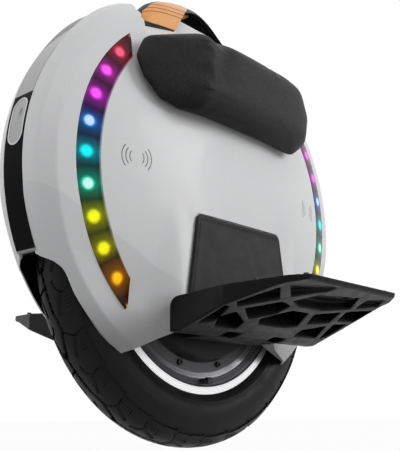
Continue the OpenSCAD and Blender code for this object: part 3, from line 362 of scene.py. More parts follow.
studio = {"sky": 0.40, "floor": 0.5, "lamps": [
    # place, aimed at, width, height, watts
    ((1.3, 0.9, 1.9), (0.0, 0.0, 0.25), 1.3, 1.3, 9),
    ((-1.2, 1.9, 1.1), (0.0, 0.05, 0.25), 1.1, 1.1, 24),
    ((1.8, -0.9, 0.9), (0.0, 0.0, 0.25), 0.5, 1.5, 7),
]}


def seenRays(tree):
    # 1 for rays from the camera, from gloss and through glass, so that all of them meet the same white
    path = tree.nodes.new("ShaderNodeLightPath")
    last = path.outputs["Is Camera Ray"]
    for name in ("Is Glossy Ray", "Is Transmission Ray"):
        either = tree.nodes.new("ShaderNodeMath")
        either.operation = "MAXIMUM"
        tree.links.new(last, either.inputs[0])
        tree.links.new(path.outputs[name], either.inputs[1])
        last = either.outputs[0]
    return either


def buildStudio():
    world = bpy.data.worlds.new("studioSky")
    bpy.context.scene.world = world
    world.use_nodes = True
    tree = world.node_tree
    back = tree.nodes["Background"]
    strength = tree.nodes.new("ShaderNodeMapRange")
    tree.links.new(seenRays(tree).outputs[0], strength.inputs[0])
    strength.inputs[3].default_value, strength.inputs[4].default_value = studio["sky"], 1.0
    back.inputs[0].default_value = (1, 1, 1, 1)
    tree.links.new(strength.outputs[0], back.inputs[1])
    for k, (place, aim, width, height, watts) in enumerate(studio["lamps"]):
        data = bpy.data.lights.new(f"softLamp{k}", "AREA")
        data.shape, data.size, data.size_y, data.energy = "RECTANGLE", width, height, watts
        lamp = bpy.data.objects.new(f"softLamp{k}", data)
        way = Matrix.Translation(place).to_translation() - Matrix.Translation(aim).to_translation()
        lamp.rotation_mode = "QUATERNION"
        lamp.rotation_quaternion = way.to_track_quat("Z", "Y")
        lamp.location = place
        bpy.context.scene.collection.objects.link(lamp)
    mesh = bpy.data.meshes.new("floor")
    mesh.from_pydata([(-9, -9, 0), (9, -9, 0), (9, 9, 0), (-9, 9, 0)], [], [(0, 1, 2, 3)])
    floor = bpy.data.objects.new("floor", mesh)
    bpy.context.scene.collection.objects.link(floor)
    material = bpy.data.materials.new("paleFloor")
    material.use_nodes = True
    tree = material.node_tree
    tree.nodes.remove(tree.nodes["Principled BSDF"])
    matt = tree.nodes.new("ShaderNodeBsdfDiffuse")
    matt.inputs[0].default_value = (*[studio["floor"]] * 3, 1)
    light = tree.nodes.new("ShaderNodeEmission")
    share = tree.nodes.new("ShaderNodeMath")
    share.operation = "MULTIPLY"
    share.inputs[1].default_value = 0.97
    tree.links.new(seenRays(tree).outputs[0], share.inputs[0])
    both = tree.nodes.new("ShaderNodeMixShader")
    tree.links.new(share.outputs[0], both.inputs[0])
    tree.links.new(matt.outputs[0], both.inputs[1])
    tree.links.new(light.outputs[0], both.inputs[2])
    tree.links.new(both.outputs[0], tree.nodes["Material Output"].inputs[0])
    mesh.materials.append(material)
    bpy.context.scene.view_settings.view_transform = "Standard"


buildStudio()
print("studio lit")


# Finishes

def whiteShell():
    # gloss white paint: base colour falls very little with a slow noise, and a faint ripple of the surface
    p = Paint("whiteShell", (0.8, 0.8, 0.8), 0.3, Coat_Weight=0.12, Coat_Roughness=0.1, Specular_IOR_Level=0.3)
    p.set("Base Color", p.blend(p.noise(5, 1).step(0.2, 0.8), (0.725, 0.73, 0.738), (0.745, 0.75, 0.757)))
    p.set("Roughness", p.noise(60, 3).step(0.2, 0.8, (0.36, 0.44)))
    p.bump(p.noise(380, 2), 0.000012)
    return p


speakerMarks = {"middles": [(153, 76), (-160, 80)], "radii": [8.3, 12.8, 17.3], "half": 0.55,
                "spread": 42}


def panelPaint():
    # the shell's white, with the sound slots as dark arcs of painted shade for their openings: a ring where the
    # distance from a speaker's middle is close to a radius, kept where the height is small beside the length along X;
    # the white is a little greyer below the facet's line, painted shade of that facet, and fades to grey at the lowest
    # tips, painted shade under the shell
    p = whiteShell()
    p.material.name = "panelPaint"
    x, y, z = p.axes()
    slotShade = None
    for mx, mz in speakerMarks["middles"]:
        dx, dz = x - mx / 1000, z - (mz / 1000 + hubZ)
        far = (dx * dx + dz * dz).math("SQRT")
        side = dz.math("ABSOLUTE") / far.math("MAXIMUM", 0.001)
        side = 1 - side.step(0.64, 0.68)
        for r in speakerMarks["radii"]:
            off = (far - r / 1000).math("ABSOLUTE")
            # painted shade: each arc is dark as the opening of a sound slot, which is not cut
            ring = (1 - off.step(0.0003, 0.0008)) * side
            slotShade = ring if slotShade is None else slotShade.math("MAXIMUM", ring)
    color = Value(p, p.shader.inputs["Base Color"].links[0].from_socket)
    # painted shade: the facet below this line is painted greyer
    below = (hubZ - 0.007 + 0.554 * (x.math("ABSOLUTE") - 0.169) - z).step(-0.0002, 0.0006)
    # painted shade: the lowest tips are painted grey
    low = 1 - (z - hubZ).step(-0.118, -0.06)
    color = p.blend(below * 0.5, color, (0.64, 0.645, 0.655))
    color = p.blend(low * 0.75, color, (0.30, 0.30, 0.305))
    # painted shade: the slots' arcs laid over the white
    p.set("Base Color", p.blend(slotShade, color, (0.09, 0.09, 0.095)))
    return p


def greyCover():
    # satin grey plastic with a very fine moulded grain
    p = Paint("greyCover", (0.5, 0.5, 0.5), 0.4, Coat_Weight=0.2)
    p.set("Base Color", p.blend(p.noise(30, 3), (0.36, 0.36, 0.365), (0.42, 0.42, 0.425)))
    p.bump(p.noise(1500, 2), 0.00004)
    return p


def blackGloss():
    # piano black with faint polishing marks in roughness, and a grey lip in its lowest 2 mm
    p = Paint("blackGloss", (0.001, 0.001, 0.001), 0.16, Specular_IOR_Level=0.03)
    lip = 1 - p.axes()[2].step(0.1925, 0.1931)
    p.set("Roughness", p.noise(80, 3).step(0.3, 0.8, (0.12, 0.22)))
    p.set("Base Color", p.blend(lip, p.blend(p.noise(12, 2), (0.0008, 0.0008, 0.001), (0.0018, 0.0018, 0.002)),
                                (0.33, 0.335, 0.34)))
    return p


def hoodBlack():
    # satin dark grey of the handle, with a fine grain
    p = Paint("hoodBlack", (0.02, 0.02, 0.02), 0.34, Specular_IOR_Level=0.1)
    p.set("Base Color", p.blend(p.noise(40, 3), (0.008, 0.0083, 0.009), (0.013, 0.0135, 0.0145)))
    p.bump(p.noise(1800, 2), 0.00003)
    return p


def castBlack():
    # powder coated casting: two sizes of grain, slightly paler in places by a slow noise
    p = Paint("castBlack", (0.01, 0.01, 0.01), 0.42, Specular_IOR_Level=0.1)
    p.set("Base Color", p.blend(p.noise(25, 4).step(0.45, 0.75), (0.0022, 0.0022, 0.0024), (0.0042, 0.0042, 0.0045)))
    p.set("Roughness", p.noise(90, 3).step(0.3, 0.7, (0.36, 0.48)))
    p.bump(p.noise(900, 3) * 0.7 + p.cells(420) * 0.3, 0.00006)
    return p


def mattBlack():
    # moulded black plastic with a fine grain
    p = Paint("mattBlack", (0.006, 0.006, 0.006), 0.55, Specular_IOR_Level=0.06)
    p.set("Base Color", p.blend(p.noise(30, 3), (0.0015, 0.0015, 0.0015), (0.003, 0.003, 0.0032)))
    p.bump(p.noise(1400, 2), 0.00005)
    return p


def tyreRubber():
    # rubber: dull black, paler and rougher where a slow noise is high, with a fine pitted grain, and painted shade in
    # the grooves: near black where they are deep
    p = Paint("tyreRubber", (0.02, 0.02, 0.02), 0.5, Specular_IOR_Level=0.12)
    worn = p.noise(35, 5).step(0.4, 0.7)
    depth = p.attribute("grooveDepth")
    base = p.blend(worn, (0.006, 0.006, 0.0063), (0.011, 0.011, 0.0115))
    # painted shade: near black in the grooves, by their depth
    p.set("Base Color", p.blend(depth, base, (0.0002, 0.0002, 0.0002)))
    p.set("Roughness", worn.step(0, 1, (0.42, 0.56)))
    p.bump(p.noise(700, 4), 0.00015)
    return p


def leather():
    # grained leather: cell borders as the grain, broken by noise, with a slight sheen
    p = Paint("leather", (0.012, 0.012, 0.012), 0.42, Specular_IOR_Level=0.2)
    bent = p.node("ShaderNodeVectorMath", {"operation": "ADD"}, [p.where(), p.scaled(
        (0.0018, 0.0018, 0.0018), p.node("ShaderNodeTexNoise", {}, {"Vector": p.where(), "Scale": 260.0}, out=1))])
    grain = p.cells(620, "DISTANCE_TO_EDGE", bent).step(0.0, 0.32)
    front = p.axes()[0].step(0.082, 0.094)
    creases = p.noise(160, 3, 0.6, p.scaled((1.7, 1.0, 0.42))) * front
    height = grain * 0.5 + p.noise(300, 3) * 0.35 + creases * 1.6
    p.set("Base Color", p.blend(grain * 0.6 + p.noise(22, 3) * 0.4, (0.0015, 0.0015, 0.0016), (0.0045, 0.0045, 0.0048)))
    p.set("Roughness", grain.step(0, 1, (0.54, 0.42)))
    p.bump(height, 0.0005)
    return p


def padLeather():
    # the lower pad: a woven grip face from two crossed waves, inside a plain leather border
    p = Paint("padLeather", (0.012, 0.012, 0.012), 0.5, Specular_IOR_Level=0.15)
    x, y, z = p.axes()
    weave = (x * 2300).math("SINE") * (z * 2300).math("SINE")
    border = p.attribute("fromEdge")
    field = border.step(0.0075, 0.0095)
    stitch = (border - 0.006).math("ABSOLUTE")
    line = 1 - stitch.step(0.0004, 0.0012)
    p.set("Base Color", p.blend(
        field, (0.006, 0.006, 0.0064), p.blend(weave.step(-1, 1), (0.012, 0.012, 0.013), (0.028, 0.028, 0.03))))
    p.set("Roughness", p.noise(80, 3).step(0.2, 0.8, (0.42, 0.56)))
    p.bump(weave * 0.25 * field + p.noise(500, 3) * 0.4 - line * 0.9, 0.0005)
    return p


def brushedRim():
    # turned and polished aluminium: streaks along the circle, as a noise of the distance from the axle;
    # by that distance the lip is near white, a thin line inside it dark and the well behind it grey
    p = Paint("brushedRim", (0.8, 0.8, 0.82), 0.26, Metallic=0.7)
    x, y, z = p.axes()
    up = z - hubZ
    far = (x * x + up * up).math("SQRT")
    rings = p.node("ShaderNodeCombineXYZ", {}, [far * 900, y * 700, 0.0])
    streak = p.noise(1.0, 4, 0.6, rings)
    lip = far.step(0.1495, 0.1505)
    line = 1 - (far - 0.1488).math("ABSOLUTE").step(0.0004, 0.0011)
    base = p.blend(lip, p.blend(streak, (0.22, 0.225, 0.235), (0.55, 0.555, 0.57)),
                   p.blend(streak, (0.90, 0.905, 0.91), (0.95, 0.95, 0.955)))
    p.set("Base Color", p.blend(line, base, (0.05, 0.05, 0.052)))
    p.set("Roughness", streak.step(0.3, 0.7, (0.24, 0.34)))
    p.bump(streak, 0.000015)
    return p


def coverGrey():
    # anodised dark motor cover, faintly turned: rings as a noise of the distance from the axle,
    # and nearly black inside the screw ring as painted shade
    p = Paint("coverGrey", (0.05, 0.05, 0.05), 0.4, Metallic=0.6)
    x, y, z = p.axes()
    up = z - hubZ
    far = (x * x + up * up).math("SQRT")
    streak = p.noise(1.0, 4, 0.6, p.node("ShaderNodeCombineXYZ", {}, [far * 700, y * 700, 0.0]))
    outer = far.step(0.1205, 0.1225)
    # painted shade: nearly black inside the screw ring
    p.set("Base Color", p.blend(outer, (0.008, 0.008, 0.009), p.blend(streak, (0.05, 0.05, 0.053), (0.085, 0.085, 0.09))))
    p.set("Roughness", streak.step(0.3, 0.7, (0.34, 0.5)))
    p.bump(streak, 0.00004)
    return p


def plainMetal(name, dark, pale, roughness, scale=120.0):
    # metal with fine drawn streaks along X and a changing gloss
    p = Paint(name, pale, roughness, Metallic=1.0)
    streak = p.noise(scale, 4, 0.6, p.scaled((0.2, 1.0, 1.0)))
    p.set("Base Color", p.blend(streak, dark, pale))
    p.set("Roughness", streak.step(0.3, 0.7, (roughness * 0.8, roughness * 1.3)))
    p.bump(p.noise(scale * 8, 3), 0.00003)
    return p


def plainPlastic(name, dark, pale, roughness, grain=900.0, depth=0.00005, **fixed):
    # plastic or rubber: slow change of colour and a fine moulded grain
    p = Paint(name, pale, roughness, **fixed)
    p.set("Base Color", p.blend(p.noise(28, 3).step(0.3, 0.7), dark, pale))
    p.set("Roughness", p.noise(70, 3).step(0.2, 0.8, (roughness * 0.85, roughness * 1.15)))
    p.bump(p.noise(grain, 3), depth)
    return p


lampColors = [  # place along the arc in degrees from its lower end, colour of the glow
    (-46, (0.10, 0.02, 0.0)), (-40, (0.85, 0.28, 0.0)), (-34, (0.14, 0.06, 0.0)),
    (-30, (0.8, 0.78, 0.0)), (-25, (0.13, 0.13, 0.0)), (-20, (0.8, 0.85, 0.0)),
    (-15, (0.03, 0.14, 0.02)), (-10, (0.0, 0.75, 0.45)), (-4.5, (0.0, 0.10, 0.08)),
    (0, (0.0, 0.70, 0.85)), (5, (0.005, 0.06, 0.14)), (10, (0.02, 0.25, 0.95)),
    (14.5, (0.04, 0.01, 0.16)), (20, (0.85, 0.03, 0.85)), (25, (0.12, 0.005, 0.10)),
    (30, (0.85, 0.05, 0.75)), (35, (0.18, 0.01, 0.06)), (40, (0.75, 0.04, 0.10)),
    (46, (0.16, 0.01, 0.02))]


def lampLens():
    # smoked lens over coloured lamps: the glow's hue runs along the arc, its brightness is a round
    # spot at every ten degrees, crossed by fine ribs, with a dark wall along the inner side, and a painted highlight on
    # the chamfered rim at the inner edge
    p = Paint("lampLens", (0.01, 0.01, 0.01), 0.14, Specular_IOR_Level=0.12)
    along, across = p.attribute("along"), p.attribute("across")
    share = along / 92 + 0.5
    hue = p.ramp(share, [((a + 46) / 92, c) for a, c in lampColors])
    near = ((along / 10 + 0.5).math("FRACT") - 0.5) * 10
    dx, dy = near * 3.3, (across - 0.40) * 27
    far = (dx * dx + dy * dy).math("SQRT")
    spot = 1 - far.step(5.0, 9.5)
    core = 1 - far.step(4.2, 6.8)
    ribs = ((along * 1.25).math("FRACT") - 0.5).math("ABSOLUTE").step(0.40, 0.49)
    speckle = p.noise(900, 2).step(0.35, 0.75)
    wall = (across - 0.84).math("ABSOLUTE").step(0.05, 0.09)
    # painted highlight: the chamfered rim along the inner edge
    rim = across.step(0.94, 0.97)
    low = across.step(0.0, 0.06)
    glow = p.blend(core, p.blend(spot, p.blend(0.10, (0, 0, 0), hue), hue), p.blend(0.85, hue, p.ramp(share, [
        (0.03, (1, 0.55, 0.0)), (0.065, (1, 0.62, 0.0)), (0.12, (1, 1, 0.0)), (0.3, (1, 1, 0.0)), (0.36, (0.8, 1, 1)),
        (0.42, (0.7, 1, 1)), (0.48, (0, 1, 1)), (0.55, (0, 1, 1)), (0.6, (0.7, 0.95, 1)), (0.66, (0.8, 0.9, 1)),
        (0.7, (1, 0.12, 1)), (0.86, (1, 0.12, 1)), (0.92, (1, 0.15, 0.35)), (1.0, (1, 0.15, 0.2))])))
    shade = (1 - ribs * 0.45 * (1 - core)) * (wall * 0.88 + 0.12) * (speckle * 0.25 + 0.75) * (low * 0.5 + 0.5)
    lit = p.blend(shade, (0, 0, 0), glow)
    # painted highlight: the rim glows a faint grey mixed with the hue
    lit = p.blend(rim, lit, p.blend(0.35, (0.09, 0.09, 0.09), hue))
    p.set("Emission Color", lit)
    p.set("Emission Strength", 1.0)
    # painted highlight: the rim's base colour is pale grey
    p.set("Base Color", p.blend(rim, p.blend(0.3, (0.004, 0.004, 0.005), hue), (0.18, 0.18, 0.19)))
    p.bump(ribs * 0.5 + p.noise(500, 2) * 0.2, 0.00015)
    return p


def headlightLens():
    # frosted lens: pale grey, darker in a drop where the reflector lies behind it, a painted dark reflection of the
    # reflector
    p = Paint("headlightLens", (0.5, 0.5, 0.5), 0.3, Coat_Weight=0.5, Coat_Roughness=0.12)
    x, y, z = p.axes()
    dy, dz = (y - 0.003) * 1000, (z - (hubZ + 0.112)) * 1000
    drop = (dy * dy / 12 + dz * dz / 70).math("SQRT")
    # painted reflection: the dark drop of the reflector behind the lens
    dark = (1 - drop.step(0.5, 1.15)) * dz.step(-9, 8)
    p.set("Base Color", p.blend(dark, p.blend(p.noise(200, 2), (0.34, 0.345, 0.35), (0.40, 0.405, 0.41)), (0.035, 0.036, 0.038)))
    p.bump(p.noise(600, 2), 0.00006)
    return p


def platePaint():
    # orange plate: darker and brighter orange above, paler below, with a painted highlight fading to pale near the top
    # at the back, and three thin dark lines along it where its height, plus 12% of its place along X, takes three
    # values
    p = Paint("platePaint", (0.8, 0.4, 0.1), 0.34, Specular_IOR_Level=0.4)
    rise = p.attribute("rise")
    x, y, z = p.axes()
    back = 1 - x.step(0.02, 0.085)
    base = p.blend(rise.step(0.25, 0.75), (0.86, 0.40, 0.13), (0.88, 0.34, 0.045))
    # painted highlight: pale near the top towards the back
    base = p.blend(back * 0.55 * rise.step(0.5, 0.95), base, (0.8, 0.62, 0.52))
    lines = None
    for at in (0.2977, 0.3051, 0.3128):
        one = 1 - (z - hubZ + x * 0.12 - at).math("ABSOLUTE").step(0.0004, 0.0009)
        lines = one if lines is None else lines.math("MAXIMUM", one)
    p.set("Base Color", p.blend(lines, base, (0.02, 0.021, 0.024)))
    p.set("Roughness", p.noise(60, 3).step(0.2, 0.8, (0.28, 0.38)))
    p.bump((1 - lines) * 0.6 + p.noise(900, 2) * 0.05, 0.0003)
    return p


def copperWire():
    # enamelled windings: round turns as a wave across the tooth
    p = Paint("copperWire", (0.6, 0.25, 0.1), 0.3, Metallic=0.8)
    x, y, z = p.axes()
    up = z - hubZ
    far = (x * x + up * up).math("SQRT")
    turns = (far * 4200).math("SINE")
    p.set("Base Color", p.blend(turns.step(-1, 1), (0.18, 0.05, 0.015), (0.65, 0.27, 0.1)))
    p.bump(turns, 0.0003)
    return p


def stackedSteel():
    # laminations: thin lines across the stack
    p = Paint("stackedSteel", (0.25, 0.25, 0.26), 0.45, Metallic=0.9)
    line = (p.axes()[1] * 9000).math("SINE").step(0.5, 0.95)
    p.set("Base Color", p.blend(line, (0.30, 0.30, 0.31), (0.10, 0.10, 0.11)))
    p.bump(line, 0.00015)
    return p


def circuitGreen():
    # solder mask over copper tracks: square cells as pads, noise as the tracks' edge
    p = Paint("circuitGreen", (0.01, 0.12, 0.04), 0.3, Coat_Weight=0.6)
    pads = p.node("ShaderNodeTexVoronoi", {"distance": "CHEBYCHEV"}, {"Vector": p.where(), "Scale": 220.0, "Randomness": 0.6})
    p.set("Base Color", p.blend(pads.step(0.22, 0.26), (0.45, 0.32, 0.12), (0.008, 0.10, 0.035)))
    p.bump(pads.step(0.2, 0.3), 0.0001)
    return p


def wrapBlue():
    # shrink wrap over cells: soft ridges every 19 mm
    p = Paint("wrapBlue", (0.02, 0.06, 0.25), 0.25, Coat_Weight=0.4)
    wave = (p.axes()[2] * 330).math("SINE")
    p.set("Base Color", p.blend(p.noise(30, 3), (0.015, 0.05, 0.2), (0.03, 0.09, 0.3)))
    p.bump(wave * 0.5 + p.noise(120, 4, 0.6, p.scaled((1, 1, 0.3))) * 0.5, 0.0012)
    return p


def redLens():
    # red tail lens with moulded prisms
    p = Paint("redLens", (0.4, 0.005, 0.01), 0.12, Coat_Weight=1.0)
    x, y, z = p.axes()
    prisms = (y * 1800).math("SINE") * (z * 1800).math("SINE")
    p.set("Base Color", p.blend(prisms.step(-1, 1), (0.25, 0.002, 0.004), (0.55, 0.01, 0.015)))
    p.bump(prisms, 0.0003)
    return p


def gripRubber():
    # grit tape on the tread: coarse grains
    p = Paint("gripRubber", (0.02, 0.02, 0.02), 0.85)
    grit = p.cells(900)
    p.set("Base Color", p.blend(grit.step(0.1, 0.6), (0.035, 0.035, 0.036), (0.008, 0.008, 0.008)))
    p.bump(grit, 0.0004)
    return p


white = whiteShell()
panelWhite = panelPaint()
grey = greyCover()
gloss = blackGloss()
hood = hoodBlack()
cast = castBlack()
matt = mattBlack()
rubber = tyreRubber()
hide = leather()
padHide = padLeather()
turned = brushedRim()
cover = coverGrey()
steel = plainMetal("drawnSteel", (0.42, 0.43, 0.45), (0.66, 0.67, 0.69), 0.28)
alloy = plainMetal("bareAlloy", (0.5, 0.51, 0.53), (0.72, 0.73, 0.75), 0.36)
darkMetal = plainMetal("darkMetal", (0.05, 0.05, 0.055), (0.11, 0.11, 0.12), 0.4)
blacked = plainMetal("blackedScrews", (0.015, 0.015, 0.016), (0.05, 0.05, 0.052), 0.34)
bright = plainMetal("nickelPlate", (0.75, 0.75, 0.77), (0.88, 0.88, 0.9), 0.1)
softRubber = plainPlastic("softRubber", (0.009, 0.009, 0.009), (0.016, 0.016, 0.0165), 0.7)
milky = plainPlastic("milkyGuide", (0.55, 0.55, 0.55), (0.7, 0.7, 0.7), 0.35)
pinkChip = plainPlastic("lampChip", (0.6, 0.2, 0.3), (0.8, 0.35, 0.5), 0.3)
orangeKey = plainPlastic("orangeKey", (0.62, 0.22, 0.04), (0.78, 0.32, 0.08), 0.38)
lensPaint = lampLens()
plate = platePaint()
putOn(white, "spine", "headlight_bezel")
putOn(grey, "top_cover", "rear_cover")
putOn(gloss, "front_strip", "rear_strip")
putOn(cast, "hanger_left", "hanger_right", "pedal_left", "pedal_right")
putOn(gripRubber(), "pedal_grips_left", "pedal_grips_right")
putOn(matt, "inner_shell_left", "inner_shell_right", "fan_housing", "fan_rotor", "speakers", "charge_socket", "power_button")
putOn(turned, "rim")
putOn(cover, "motor_cover_left", "motor_cover_right")
putOn(blacked, "cover_screws", "shell_screws", "pedal_studs_left", "pedal_studs_right")
putOn(steel, "rotor_ring", "wheel_bearings", "axle", "axle_nuts", "hinge_pins")
putOn(bright, "magnets", "headlight_reflector")
putOn(stackedSteel(), "stator_core")
putOn(copperWire(), "windings")
putOn(softRubber, "valve", "inner_tube", "motor_cable", "charge_flap")
putOn(wrapBlue(), "battery_packs")
putOn(circuitGreen(), "control_board")
putOn(alloy, "heat_sink", "trolley_tubes", "handle_rods")
putOn(darkMetal, "trolley_guides")
putOn(redLens(), "tail_lens")
putOn(headlightLens(), "headlight_lens")
putOn(milky, "light_guides")
putOn(pinkChip, "lamps")
putOn(orangeKey, "release_button")
print("finishes made")


# Side panels

shell = {"radius": 228, "middleX": 28, "middleZ": 70, "crown": 80, "flat": 47, "shoulder": 45,
         "shoulderAt": 210, "bevel": 31, "bevelAt": 222, "edge": 15, "wall": 3.0,
         "lower": [(235, -28), (222, -37), (213, -45), (198, -67), (178, -89), (158, -107),
                   (138, -120), (84, -96), (63, -89)],
         "pad": [(-75, 30), (75, 30), (91, -66), (-91, -66)], "bed": 77.5, "blend": 36,
         "facet": (169, -7, 0.554, 0.06),  # a place on the lower facet's line, its slope, its fall
         "floor": [(-96, 251), (-60, 264), (0, 268), (65, 264), (124, 250)], "trayX": (-92, 124),
         "lean": (26, 52), "trayEdge": 34.3, "shoulderSlope": 0.95,
         "rise": (6.5, 30, 62, 199, 224),  # height of the raised rim before the tray, its angles and places
         "slot": (37, 59, 16)}  # notch for a trolley rod: its ends along X and its depth


def crownTable():
    # half width over distance from an arc's middle: flat top, a power curve to the shoulder, two
    # straight bevels to the strip, all rounded by a short moving average
    d = np.arange(0, 229, 0.25)
    s = shell
    t = np.clip((d - s["flat"]) / (s["shoulderAt"] - s["flat"]), 0, 1)
    y = s["shoulder"] + (s["crown"] - s["shoulder"]) * (1 - t**1.45)
    y = np.where(d > s["shoulderAt"], np.interp(d, [s["shoulderAt"], s["bevelAt"], s["radius"]],
                                                [s["shoulder"], s["bevel"], s["edge"]]), y)
    kernel = np.ones(9) / 9
    smooth = np.convolve(np.pad(y, 4, "edge"), kernel, "valid")
    smooth = np.where(d > 226.5, y, smooth)
    return d, smooth


crownD, crownY = crownTable()


def crownHalf(x, z):
    # half width of the shell at a place in side view
    far = np.hypot(np.maximum(np.abs(x) - shell["middleX"], 0), z - shell["middleZ"])
    return np.interp(far, crownD, crownY)


def stadiumLine(radius, step=2.0):
    # the shell's outline in side view: two half circles joined by straight lines
    n = int(math.pi * radius / step)
    a = np.radians(np.linspace(-90, 90, n + 1))
    front = np.stack([shell["middleX"] + radius * np.cos(a), shell["middleZ"] + radius * np.sin(a)], 1)
    back = np.stack([-shell["middleX"] - radius * np.cos(a[::-1]), shell["middleZ"] + radius * np.sin(a[::-1])], 1)
    return alongLoop(np.concatenate([front, back]), step)


lens = {"outerR": 197, "outerX": 21.5, "innerR": 185, "innerX": 8, "middleZ": 73, "cut": 148}


def lensLine(end, grow=0.0, step=2.0):
    # outline of an arc lens: outer arc, then inner arc back, both cut by the line x = cut
    l = lens
    def arc(r, x0, cut):
        a = math.acos((cut - x0) / r)
        t = np.linspace(-a, a, int(2 * a * r / step))
        return np.stack([x0 + r * np.cos(t), l["middleZ"] + r * np.sin(t)], 1)
    outer = arc(l["outerR"] + grow, l["outerX"], l["cut"] - grow)
    inner = arc(l["innerR"] - grow, l["innerX"], l["cut"] - grow)[::-1]
    loop = alongLoop(np.concatenate([outer, inner]), step)
    return loop * [end, 1]


def trayLine():
    # border of the tray from the front rim down its leaning end, back along the floor with the
    # trolley's notch, and up the rear end; the front end's foot has two columns, one on each side
    x0, x1 = shell["trayX"]
    floor = np.array(shell["floor"], float)
    top = lambda x: float(np.interp(x, floor[:, 0], floor[:, 1]))
    a, b, depth = shell["slot"]
    run, rise = shell["lean"]
    ends = [(x1 + 0.4 - run * t, top(x1) + rise * t) for t in np.linspace(0.648, 0, 16)]
    along = [(x, top(x)) for x in np.arange(x1, b, -3.0)] + [(b, top(b)), (b, top(b) - depth)]
    along += [(a, top(a) - depth), (a, top(a))] + [(x, top(x)) for x in np.arange(a - 2, x0, -3.0)]
    back = [(x0, z) for z in np.arange(top(x0), 288.3, 3.0)]
    return np.array(ends + along + [(x0 - 0.4, z) for x, z in back])


def panelOutline():
    # the stadium above the lower edge, whose corners at the strips are kept sharp, with the tray cut out
    low = np.array(shell["lower"], float)
    ring = stadiumLine(shell["radius"] - 0.15, 1.6)
    bend = alongLoop(np.concatenate([[low[0]], throughPoints(
        np.c_[np.arange(6), low[1:7]], np.linspace(0, 5, 41)), low[7:]]), 2.0, closed=False)
    bend = bend[np.hypot(np.maximum(np.abs(bend[:, 0]) - shell["middleX"], 0), bend[:, 1] - shell["middleZ"]) < shell["radius"] - 0.3]
    upper = ring[ring[:, 1] > bend[0, 1] + 1.0]
    angle = np.arctan2(upper[:, 1] - 70, upper[:, 0])
    angle = np.where(angle < -1.9, angle + 2 * np.pi, angle)
    upper = upper[np.argsort(angle)]
    tray = trayLine()
    front = upper[(upper[:, 0] > tray[0, 0] + 0.8) | (upper[:, 1] < 150) & (upper[:, 0] > 0)]
    rear = upper[(upper[:, 0] < tray[-1, 0] - 0.8) & (upper[:, 0] < 0)]
    return np.concatenate([front, tray, rear, bend * [-1, 1], bend[::-1]])


def bedLine(grow, radius):
    pts = np.array(shell["pad"], float)
    middle = (pts.min(0) + pts.max(0)) / 2
    return alongLoop(rounded(pts + np.sign(pts - middle) * grow, radius), 3.0)


